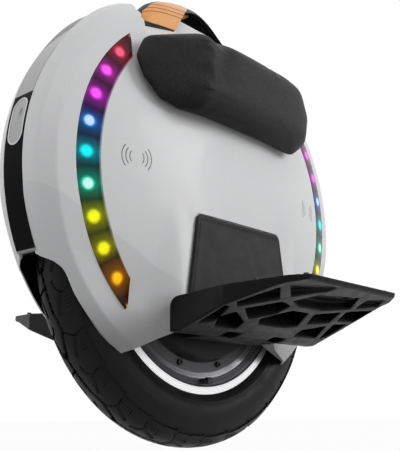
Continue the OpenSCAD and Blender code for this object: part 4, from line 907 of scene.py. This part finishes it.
def panelShape():
    # crown height over side view points, pressed flat in the bed of the lower pad
    outline = panelOutline()
    holes = [lensLine(1, 0.2), lensLine(-1, 0.2)]
    rings = np.concatenate([np.linspace(0, 205, 52), np.linspace(207, 227.2, 15)])
    grid = []
    for r in rings:
        n = max(1, int((2 * math.pi * r + 4 * shell["middleX"]) / (5.0 if r < 206 else 4.0)))
        if r < 4:
            continue
        loop = stadiumLine(r, max(2.0, (2 * math.pi * r) / n))
        grid.append(loop)
    grid.append(np.stack(np.meshgrid(np.arange(-27, 28, 5.0), np.array([68.0, 72.0])), -1).reshape(-1, 2))
    grid = np.concatenate(grid)
    x0, x1 = shell["trayX"]
    foot = np.interp(x1, *np.array(shell["floor"], float).T)
    for x in (x1, x1 + 0.4, x0, x0 - 0.4):
        grid = grid[~((np.abs(grid[:, 0] - x) < 1.2) & (grid[:, 1] > 200))]
    for x in (x1, x1 + 0.4, x0, x0 - 0.4):
        grid = np.concatenate([grid, [(x, z) for z in np.arange(foot - 16, foot, 2.0)]])
    extra = [bedLine(0.3, 9), bedLine(0.8, 9), bedLine(3.0, 9)]
    flat, faces = flatSheet(outline, holes, grid, extra)
    x, z = flat[:, 0], flat[:, 1]
    y = crownHalf(x, z)
    def share(inner, outer):
        # 1 inside the inner line, 0 outside the outer one
        di = distanceTo(flat, inner)
        do = distanceTo(flat, outer)
        inside, beyond = isInside(flat, inner), ~isInside(flat, outer)
        return np.where(inside | (di < 0.05), 1.0, np.where(beyond | (do < 0.05), 0.0, do / np.maximum(di + do, 1e-6)))
    away = np.where(isInside(flat, extra[2]), 0, distanceTo(flat, extra[2]))
    y = y + np.maximum(shell["bed"] - y, 0) * (1 - smoothStep(away, 0, shell["blend"]))
    well = share(extra[0], extra[1])
    y = y * (1 - well) + np.minimum(y, shell["bed"] - 0.1) * well
    fx, fz, slope, fall = shell["facet"]
    y = y - fall * np.clip(fz + slope * (np.abs(x) - fx) - z, 0, 40) * smoothStep(np.abs(x), 93, 103)
    # the shoulders beside the tray
    floor = np.array(shell["floor"], float)
    over = shell["trayEdge"] + (np.interp(x, floor[:, 0], floor[:, 1]) - z) / shell["shoulderSlope"]
    beside = (x >= x0 - 0.05) & (x <= x1 + 0.05) & (z > 150)
    y = np.where(beside, np.minimum(y, over), y)
    # the rim before the tray stands a little proud
    tall, a0, a1, d0, d1 = shell["rise"]
    away = np.hypot(np.maximum(np.abs(x) - shell["middleX"], 0), z - shell["middleZ"])
    angle = np.degrees(np.arctan2(z - shell["middleZ"], x - shell["middleX"]))
    lifted = tall * smoothStep(angle, a0, a1) * smoothStep(away, d0, d1) * (x > 60)
    x = x + lifted * np.cos(np.radians(angle))
    z = z + lifted * np.sin(np.radians(angle))
    points = np.stack([x, y, z], 1)
    # the wall's edge: each border goes straight inwards, and the lower border as far as the inner shell
    border = edgeLoops(faces)
    inner = np.unique(border)
    n = len(points)
    drop = np.full(len(inner), shell["wall"])
    place = points[inner]
    d = np.hypot(np.maximum(np.abs(place[:, 0]) - shell["middleX"], 0), place[:, 2] - shell["middleZ"])
    lowEdge = (place[:, 2] < -20) & (np.abs(place[:, 0]) > 62)
    drop = np.where(lowEdge, np.maximum(place[:, 1] - 38.7, 2.0), drop)
    base = flat[inner]
    lean = x1 + 0.4 - (base[:, 1] - foot) / 2
    atEnd = (base[:, 1] > foot - 0.5) & ((np.abs(base[:, 0] - x0 + 0.4) < 0.05) | (np.abs(base[:, 0] - lean) < 0.3))
    drop = np.where(atEnd, place[:, 1] - 0.2, drop)
    shift = np.stack([np.zeros(len(inner)), -drop, np.zeros(len(inner))], 1)
    atStrip = (d > 226.5) & ~atEnd
    inwards = (d[atStrip] - shell["radius"] + 3.8) / d[atStrip]
    shift[atStrip] = np.stack([-place[atStrip, 0] * inwards, np.zeros(atStrip.sum()), -(place[atStrip, 2] - 70) * inwards], 1)
    number = {int(v): n + k for k, v in enumerate(inner)}
    points = np.concatenate([points, place + shift])
    walls = [[int(b), int(a), number[int(a)], number[int(b)]] for a, b in border]
    return points, faces.tolist() + walls


panelPoints, panelFaces = panelShape()
panelLeft = makePiece("sidePanelLeft", panelPoints, panelFaces, 28)
panelRight = makePiece("sidePanelRight", *mirrored(panelPoints, panelFaces), 28)
for side, piece in (("left", panelLeft), ("right", panelRight)):
    putOn(panelWhite, piece)
    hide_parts(f"side_panel_{side}")
print("side panels made", len(panelFaces))


# Arc lenses

def lensShape(end):
    # rows along the arc at even angles, columns from the outer to the inner edge, on the crown,
    # raised in the middle by half a millimetre, then folded down at the sides
    rows, columns = 260, 15
    l = lens
    a = math.acos((l["cut"] - l["outerX"]) / l["outerR"])
    t = np.linspace(-a, a, rows)
    outer = np.stack([l["outerX"] + l["outerR"] * np.cos(t), l["middleZ"] + l["outerR"] * np.sin(t)], 1)
    z = outer[:, 1]
    inX = l["innerX"] + np.sqrt(np.maximum(l["innerR"]**2 - (z * 0.965 + l["middleZ"] * 0.035 - l["middleZ"])**2, 0))
    inZ = z * 0.965 + l["middleZ"] * 0.035
    inX = np.maximum(inX, l["cut"])
    inner = np.stack([inX, inZ], 1)
    cutAt = inX <= l["cut"] + 1e-6
    # past the inner arc's end the inner side runs along the straight cut
    inner[cutAt, 1] = inZ[cutAt]
    s = np.linspace(0, 1, columns)
    flat = outer[:, None] * (1 - s[None, :, None]) + inner[:, None] * s[None, :, None]
    y = crownHalf(flat[..., 0], flat[..., 1]) + 0.15 + 0.35 * np.sin(np.pi * s)[None, :]
    y[:, 0] -= 2.2
    y[:, -1] -= 2.2
    y[0] -= 1.5
    y[-1] -= 1.5
    angle = np.degrees(np.arctan2(flat[..., 1] - 72, flat[..., 0] - 20))
    points = np.stack([flat[..., 0] * end, y, flat[..., 1]], -1).reshape(-1, 3)
    faces = gridFaces(rows, columns)
    if end < 0:
        faces = faces[:, ::-1]
    return points, faces, angle.reshape(-1), np.tile(s, rows)


def store(piece, name, values):
    layer = piece.data.attributes.new(name, "FLOAT", "POINT")
    layer.data.foreach_set("value", np.asarray(values, np.float32))


lensParts = []
for sideName, flip in (("Left", 1), ("Right", -1)):
    for endName, end in (("Front", 1), ("Rear", -1)):
        points, faces, along, across = lensShape(end)
        if flip < 0:
            points, faces = mirrored(points, faces)
        piece = makePiece(f"arcLens{endName}{sideName}", points, faces, 50)
        store(piece, "along", along)
        store(piece, "across", across)
        putOn(lensPaint, piece)
        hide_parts("arc_lenses")
        lensParts.append(piece)
print("lenses made")


# Castings: smooth copies of the pedals and hangers

casts = {"voxel": 1.15, "rounds": 14, "plug": (4.8, 91, 140.5 - 216.5)}


def easedCopy(name, node, body):
    # the node's own shape with a plug in its hinge bore, remeshed finely and smoothed
    source = nodes[node]
    mesh = source.data.copy()
    mesh.transform(source.matrix_world)
    radius, y, z = casts["plug"]
    y *= 1 if node.endswith("left") else -1
    piece = bpy.data.objects.new(name, mesh)
    bpy.context.scene.collection.objects.link(piece)
    piece["goesWith"] = body
    made = bmesh.new()
    made.from_mesh(mesh)
    ends = [v.co.x for v in made.verts if math.hypot(v.co.y - y / 1000, v.co.z - hubZ - z / 1000) < 0.0045]
    if ends:
        for low, high in ((min(ends), min(ends) + 0.012), (max(ends) - 0.012, max(ends))):
            turn = Matrix.Translation(((low + high) / 2, y / 1000, hubZ + z / 1000)) @ Matrix.Rotation(math.pi / 2, 4, "Y")
            bmesh.ops.create_cone(made, cap_ends=True, segments=24, radius1=radius / 1000, radius2=radius / 1000,
                                  depth=high - low, matrix=turn)
    bmesh.ops.remove_doubles(made, verts=made.verts, dist=1e-6)
    made.to_mesh(mesh)
    made.free()
    for o in bpy.context.selected_objects:
        o.select_set(False)
    bpy.context.view_layer.objects.active = piece
    piece.select_set(True)
    mesh.remesh_voxel_size = casts["voxel"] / 1000
    bpy.ops.object.voxel_remesh()
    even = piece.modifiers.new("even", "SMOOTH")
    even.factor, even.iterations = 0.5, casts["rounds"]
    bpy.ops.object.modifier_apply(modifier="even")
    piece.data.shade_smooth()
    putOn(cast, piece)
    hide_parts(node)
    print(name, len(piece.data.polygons))


for sideName in ("left", "right"):
    easedCopy(f"castPedal{sideName.capitalize()}", f"pedal_{sideName}", f"{sideName}_pedal")
    easedCopy(f"castHanger{sideName.capitalize()}", f"hanger_{sideName}", "body")
print("castings made")


# Tyre: a band with the tread and a plain body under it

tyre = {"radius": 216.5, "blocks": 15, "depth": 4.2,
        "outer": [(0, 216.5), (9, 215.6), (18, 212.2), (25, 205.5), (28.6, 197.5), (31, 190),
                  (32, 182.5), (31.4, 174), (27, 164.5), (23.5, 160), (22.2, 158.3)],
        "zigzag": [(0, 3), (6, 0.5), (52, -5.5), (50, -2.5), (53, -2.2), (78, 5), (90, 3)],
        "grooves": [  # width, then points along the circumference and across from the middle
            (2.0, [(3, 9), (24, 15.5)]), (1.5, [(24, 15.5), (30, 9.5), (36, 7.5)]),
            (2.0, [(48, 10), (69, 16.5)]), (1.2, [(69, 16.5), (76, 5)]),
            (2.2, [(24, 15.5), (29, 21), (31, 31)]), (2.2, [(69, 16.5), (74, 22), (76, 31)]),
            (1.2, [(-12, 27.6), (28, 25.6)]), (1.2, [(33, 27.6), (73, 25.6)])],
        "sipes": [(8, 18), (12, 18.6), (16, 19.2), (20, 19.8), (24, 20.4),
                  (53, 18.6), (57, 19.2), (61, 19.8), (65, 20.4), (69, 21)]}


def treadDepth(along, across):
    # share of the groove's depth at a place: near one of the groove lines, repeated round the tyre
    period = 2 * math.pi * tyre["radius"] / tyre["blocks"]
    scale = period / 90
    depth = np.zeros(along.size)
    for side in (1, -1):
        t = ((along / scale + (0 if side > 0 else 45)) % 90).ravel()
        v = (across * side).ravel()
        here = np.ones(v.size, bool) if side > 0 else v > 4
        for shift in (-90, 0, 90):
            p = np.stack([t + shift, v], 1)
            lines = [(w, np.array(l, float)) for w, l in tyre["grooves"]]
            lines += [(0.8, np.array([(a, b), (a + 2.2, b + 5.5)], float)) for a, b in tyre["sipes"]]
            if side > 0:
                lines.append((2.2, np.array(tyre["zigzag"], float)))
            for width, line in lines:
                near = (p[:, 0] > line[:, 0].min() - 4) & (p[:, 0] < line[:, 0].max() + 4) & here
                if not near.any():
                    continue
                d = distanceTo(p[near], line, False)
                cut = (1 - smoothStep(d, width * 0.42, width * 0.42 + 0.8)) * (0.75 if width < 1 else 1.0)
                depth[near] = np.maximum(depth[near], cut)
    ring = np.exp(-((np.abs(across.ravel()) - 31.5) / 0.5)**2) * 0.35
    return np.maximum(depth, ring).reshape(along.shape)


def tyreSection(count, first, last):
    # places along the outside of the section, counted in millimetres from its middle
    table = np.array(tyre["outer"], float)
    run = np.concatenate([[0], np.cumsum(np.linalg.norm(np.diff(table, axis=0), axis=1))])
    s = np.linspace(first, last, count)
    both = throughPoints(np.c_[run, table], np.clip(np.abs(s), 0, run[-1]))
    return s, both[:, 0] * np.sign(s), both[:, 1], run


def treadBand():
    # the section turned about the axle, sunk along its normal by the groove's depth
    s, y, r, run = tyreSection(66, -35, 35)
    angle = np.linspace(0, 2 * np.pi, 1440, endpoint=False)
    along = np.broadcast_to((angle * tyre["radius"])[:, None], (len(angle), len(s)))
    across = np.broadcast_to(s[None], along.shape)
    sunk = treadDepth(along, across)
    ny, nr = np.gradient(r, s), -np.gradient(y, s)
    size = np.hypot(ny, nr)
    deep = sunk * tyre["depth"]
    rr = r[None] + deep * (nr / size)[None]
    yy = y[None] - deep * (-ny / size)[None] * -1
    points = np.stack([rr * np.cos(angle)[:, None], np.broadcast_to(yy, rr.shape), rr * np.sin(angle)[:, None]], -1)
    return points.reshape(-1, 3), gridFaces(len(angle), len(s), closedRows=True)[:, ::-1], sunk.reshape(-1)


def tyreBody():
    # sidewalls from the band's edge down to the bead, with two thin raised rings
    run = tyreSection(2, 0, 1)[3]
    halves = []
    for side in (1, -1):
        s, y, r, _ = tyreSection(34, side * 35.0, side * run[-1])
        swell = 0.35 * np.exp(-((r - 186) / 0.7)**2) + 0.45 * np.exp(-((r - 166) / 0.8)**2)
        y = y + np.sign(side) * swell
        angle = np.linspace(0, 2 * np.pi, 360, endpoint=False)
        p = np.stack([r[None] * np.cos(angle)[:, None], np.broadcast_to(y[None], (360, 34)), r[None] * np.sin(angle)[:, None]], -1)
        f = gridFaces(360, 34, closedRows=True)
        halves.append((p.reshape(-1, 3), f[:, ::-1] if side > 0 else f))
    n = len(halves[0][0])
    return np.concatenate([halves[0][0], halves[1][0]]), np.concatenate([halves[0][1], halves[1][1] + n])


bandPoints, bandFaces, sunk = treadBand()
band = makePiece("treadBand", bandPoints, bandFaces, 60, "wheel")
store(band, "grooveDepth", sunk)
walls = makePiece("tyreWalls", *tyreBody(), 60, "wheel")
store(walls, "grooveDepth", np.zeros(len(walls.data.vertices)))
for piece in (band, walls):
    putOn(rubber, piece)
    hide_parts("tyre")
print("tyre made")


# Pads

pads = {"outline": [(155, 190), (143, 216), (84, 236), (-90, 239), (-116, 228), (-131, 190),
                    (-121, 154), (-102, 138), (104, 138), (130, 146), (147, 166)],
        "middle": (4, 188), "ridge": 114, "rings": 15, "cap": 3.0, "voxel": 3.2, "pressure": 2.5}


def padFront(x, z):
    # outer face of the upper pad: a ridge at x = 85 that falls to the front and, slower, to the back,
    # rolled over above and undercut below
    ahead = np.maximum(x - 85, 0) / 70
    behind = np.maximum(85 - x, 0) / 225
    over = np.maximum(z - 214, 0) / 25
    under = np.maximum(168 - z, 0) / 30
    valley = 5 * np.exp(-((x - 62) / 15)**2) * smoothStep(z, 158, 186)
    bead = 2.5 * np.exp(-((x - 88) / 6)**2)
    return pads["ridge"] + bead - 38 * ahead - 10 * behind**2 - 17 * over**2 - 13 * under**2 - valley


def cushionShape(outline, middle, rings, back, front):
    # rings of points from the middle of the back over the edge to the middle of the front
    loop = np.asarray(outline, float)
    middle = np.asarray(middle, float)
    points = []
    for share, height in rings:
        q = middle + (loop - middle) * share
        low, high = back(q[:, 0], q[:, 1]), front(q[:, 0], q[:, 1])
        points.append(np.stack([q[:, 0], low + (np.maximum(high, low + 3) - low) * height, q[:, 1]], 1))
    n = len(loop)
    faces = gridFaces(len(rings), n, closedColumns=True)
    points = np.concatenate(points)
    first, last = len(points), len(points) + 1
    points = np.concatenate([points, [points[:n].mean(0)], [points[-n:].mean(0)]])
    k = np.arange(n)
    fan = np.stack([np.full(n, first), k, (k + 1) % n], 1).tolist()
    top = len(rings) * n - n
    fan += np.stack([np.full(n, last), top + (k + 1) % n, top + k], 1).tolist()
    return points, faces.tolist() + fan


def plump(piece, voxel, pressure, cap):
    # blow the cushion up as cloth, keep each point within the cap, and smooth once
    scene = bpy.context.scene
    bpy.context.view_layer.objects.active = piece
    for o in bpy.context.selected_objects:
        o.select_set(False)
    piece.select_set(True)
    piece.data.remesh_voxel_size = voxel / 1000
    bpy.ops.object.voxel_remesh()
    start = np.empty(len(piece.data.vertices) * 3)
    piece.data.vertices.foreach_get("co", start)
    start = start.reshape(-1, 3)
    cloth = piece.modifiers.new("cloth", "CLOTH")
    cloth.settings.use_pressure = True
    cloth.settings.uniform_pressure_force = pressure
    cloth.settings.effector_weights.gravity = 0
    cloth.settings.tension_stiffness = 20
    for f in range(1, 21):
        scene.frame_set(f)
    done = piece.evaluated_get(bpy.context.evaluated_depsgraph_get()).to_mesh()
    end = np.empty(len(done.vertices) * 3)
    done.vertices.foreach_get("co", end)
    move = end.reshape(-1, 3) - start
    size = np.linalg.norm(move, axis=1)[:, None]
    limit = cap / 1000
    start = start + move / np.maximum(size, 1e-9) * limit * np.tanh(size / limit)
    piece.evaluated_get(bpy.context.evaluated_depsgraph_get()).to_mesh_clear()
    piece.modifiers.remove(cloth)
    scene.frame_set(1)
    piece.data.vertices.foreach_set("co", start.reshape(-1))
    piece.data.update()
    smooth = piece.modifiers.new("even", "SMOOTH")
    smooth.factor, smooth.iterations = 0.5, 3
    finer = piece.modifiers.new("finer", "SUBSURF")
    finer.levels = finer.render_levels = 1
    for m in ("even", "finer"):
        bpy.ops.object.modifier_apply(modifier=m)
    piece.data.shade_smooth()


def upperPad():
    loop = alongLoop(rounded(pads["outline"], 13, 5), 5.0)
    t = np.linspace(0, 1, pads["rings"])
    edge = [(0.2, 0), (0.4, 0), (0.6, 0), (0.8, 0), (0.92, 0), (0.965, 0.06)]
    edge += [(1 - 0.06 * (1 - math.sin(a))**1.2 - 0.0, 0.5 - 0.42 * math.cos(a)) for a in np.linspace(0.35, math.pi / 2, 5)]
    edge += [(0.985, 0.6), (0.955, 0.74), (0.91, 0.85), (0.85, 0.92), (0.77, 0.965), (0.66, 0.99), (0.54, 1), (0.42, 1),
             (0.3, 1), (0.18, 1), (0.08, 1)]
    return cushionShape(loop, pads["middle"], edge,
                        lambda x, z: crownHalf(x, z) + 2.2, lambda x, z: padFront(x, z) - 1.5)


def lowerPad():
    loop = alongLoop(rounded(shell["pad"], 8, 6), 4.0)
    edge = [(0.3, 0), (0.6, 0), (0.85, 0), (0.95, 0), (0.985, 0.12), (0.994, 0.35), (0.994, 0.6), (0.985, 0.82), (0.965, 0.95),
            (0.93, 1), (0.85, 1), (0.7, 1), (0.5, 1), (0.3, 1), (0.12, 1)]
    return cushionShape(loop, (0, -20), edge, lambda x, z: x * 0 + shell["bed"] + 0.4, lambda x, z: x * 0 + shell["bed"] + 3.5)


for sideName in ("left", "right"):
    points, faces = upperPad()
    if sideName == "right":
        points, faces = mirrored(points, faces)
    piece = makePiece(f"legPad{sideName.capitalize()}", points, faces, 180)
    plump(piece, pads["voxel"], pads["pressure"], pads["cap"])
    putOn(hide, piece)
    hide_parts(f"upper_pad_{sideName}")
    points, faces = lowerPad()
    if sideName == "right":
        points, faces = mirrored(points, faces)
    piece = makePiece(f"anklePad{sideName.capitalize()}", points, faces, 180)
    plump(piece, 1.6, 2.0, 0.5)
    co = np.empty(len(piece.data.vertices) * 3)
    piece.data.vertices.foreach_get("co", co)
    co = co.reshape(-1, 3) * 1000
    flat = np.stack([co[:, 0], co[:, 2] - hubZ * 1000], 1)
    edgeLine = rounded(shell["pad"], 8, 6)
    away = distanceTo(flat, edgeLine)
    store(piece, "fromEdge", away / 1000)
    putOn(padHide, piece)
    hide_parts(f"lower_pad_{sideName}")
print("pads made")


# Handle

grip = {"floor": shell["floor"],
        "crest": [(-88, 262), (-60, 288), (-36, 313), (-24, 325), (-8, 332), (10, 331.5), (40, 325.5),
                  (67, 315), (83, 303), (94, 289), (101, 276), (106, 262)],
        "half": 33, "front": 104, "flank": 5, "top": 7, "power": 1.6,
        "opening": [(64, 262), (48, 285), (30, 308), (12, 317), (0, 320), (-12, 316), (-25, 304),
                    (-50, 276), (-60, 250), (64, 250)],
        "plate": [(99, 263), (102, 269), (92, 289), (77, 305), (66, 313), (40, 323), (8, 330),
                  (30, 307), (46, 287), (59, 268)], "proud": 0.8,
        # the leg in the hood and the arm at its foot that goes out to the trolley's rod
        "arms": [((39, 28, 235), (57, 48, 240)), ((39.01, 28.01, 235.01), (81.99, 31.49, 239.99)),
                 ((64, 28, 235), (82, 31.5, 268))]}


def hoodLoft(grow, hollow=False):
    # sections across the handle from back to front: each a superellipse arch from foot to foot
    x = np.linspace(-88, grip["front"], 100)
    width = np.minimum(np.minimum(1, 0.62 + (124 - x) / 40), 0.7 + (x + 90) / 60)
    foot = throughPoints(grip["floor"], x) + 0.4
    crest = throughPoints(grip["crest"], x)
    half = (grip["half"] + grow) * width
    top = crest + grow
    if hollow:
        half, top, foot = (grip["half"] - grip["flank"]) * width, np.maximum(crest - grip["top"], foot + 2), foot - 1.5
    a = np.linspace(-90, 90, 49)
    s, c = np.sin(np.radians(np.abs(a))), np.cos(np.radians(a))
    q = 2 / grip["power"]
    y = -np.sign(a)[None] * half[:, None] * s[None]**q
    z = foot[:, None] + (top - foot)[:, None] * np.maximum(c, 0)[None]**q
    points = np.stack([np.broadcast_to(x[:, None], y.shape), y, z], -1).reshape(-1, 3)
    n = len(a)
    faces = gridFaces(len(x), n, closedColumns=True).tolist()
    faces += [list(range(n)), list(range((len(x) - 1) * n, len(x) * n))[::-1]]
    return points, faces


def prism(outline, y0, y1):
    n = len(outline)
    pts = np.asarray(outline, float)
    points = np.concatenate([np.stack([pts[:, 0], np.full(n, y0), pts[:, 1]], 1),
                             np.stack([pts[:, 0], np.full(n, y1), pts[:, 1]], 1)])
    faces = [list(range(n)), list(range(n, 2 * n))[::-1]]
    faces += [[(i + 1) % n, i, n + i, n + (i + 1) % n] for i in range(n)]
    return points, faces


def outward(piece):
    # normals recalculated to point outwards
    made = bmesh.new()
    made.from_mesh(piece.data)
    bmesh.ops.remove_doubles(made, verts=made.verts, dist=1e-6)
    bmesh.ops.recalc_face_normals(made, faces=made.faces)
    made.to_mesh(piece.data)
    made.free()


def cutWith(piece, tools, sharp=30):
    # tools: (how, object) pairs, used one after the other and then removed
    bpy.context.view_layer.objects.active = piece
    outward(piece)
    for how, tool in tools:
        outward(tool)
        m = piece.modifiers.new("cut", "BOOLEAN")
        m.operation, m.object, m.solver = how, tool, "EXACT"
        bpy.ops.object.modifier_apply(modifier="cut")
        bpy.data.objects.remove(tool)
    piece.data.shade_smooth()
    piece.data.set_sharp_from_angle(angle=math.radians(sharp))


def block(low, high):
    (a, b, c), (d, e, f) = low, high
    points = [(x, y, z) for x in (a, d) for y in (b, e) for z in (c, f)]
    return points, [[0, 1, 3, 2], [4, 6, 7, 5], [0, 4, 5, 1], [2, 3, 7, 6], [0, 2, 6, 4], [1, 5, 7, 3]]


def buildHandle():
    hoodPiece = makePiece("handleHood", *hoodLoft(0), 30, "trolley_handle")
    opening = rounded(grip["opening"], 12, 6)
    cutWith(hoodPiece, [("DIFFERENCE", makePiece("hollow", *hoodLoft(0, True))),
                        ("DIFFERENCE", makePiece("opening", *prism(opening, -60, 60))),
                        ("DIFFERENCE", makePiece("pocket", *block((3.8, -5.2, 314), (24.2, 5.2, 327.3)))),
                        *[("UNION", makePiece("arm", *block((x0, min(side * y0, side * y1), z0),
                                                            (x1, max(side * y0, side * y1), z1))))
                          for side in (1, -1) for (x0, y0, z0), (x1, y1, z1) in grip["arms"]]])
    putOn(hood, hoodPiece)
    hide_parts("handle")
    for sideName, side in (("Left", 1), ("Right", -1)):
        piece = makePiece(f"orangePlate{sideName}", *hoodLoft(grip["proud"]), 30, "trolley_handle")
        outline = alongLoop(rounded(grip["plate"], 4, 4), 4.0)
        cutWith(piece, [("INTERSECT", makePiece("frameLine", *prism(outline, min(6 * side, 60 * side), max(6 * side, 60 * side)))),
                        ("DIFFERENCE", makePiece("under", *hoodLoft(0.05)))])
        co = np.empty(len(piece.data.vertices) * 3)
        piece.data.vertices.foreach_get("co", co)
        co = co.reshape(-1, 3) * 1000
        foot, crest = throughPoints(grip["floor"], co[:, 0]), throughPoints(grip["crest"], co[:, 0])
        store(piece, "rise", (co[:, 2] - hubZ * 1000 - foot) / (crest - foot))
        putOn(plate, piece)
        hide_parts("handle_plates")


buildHandle()
print("handle made")


# Everything rides on its body

for piece in [o for o in bpy.data.objects if "goesWith" in o]:
    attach(piece, piece["goesWith"])
    del piece["goesWith"]
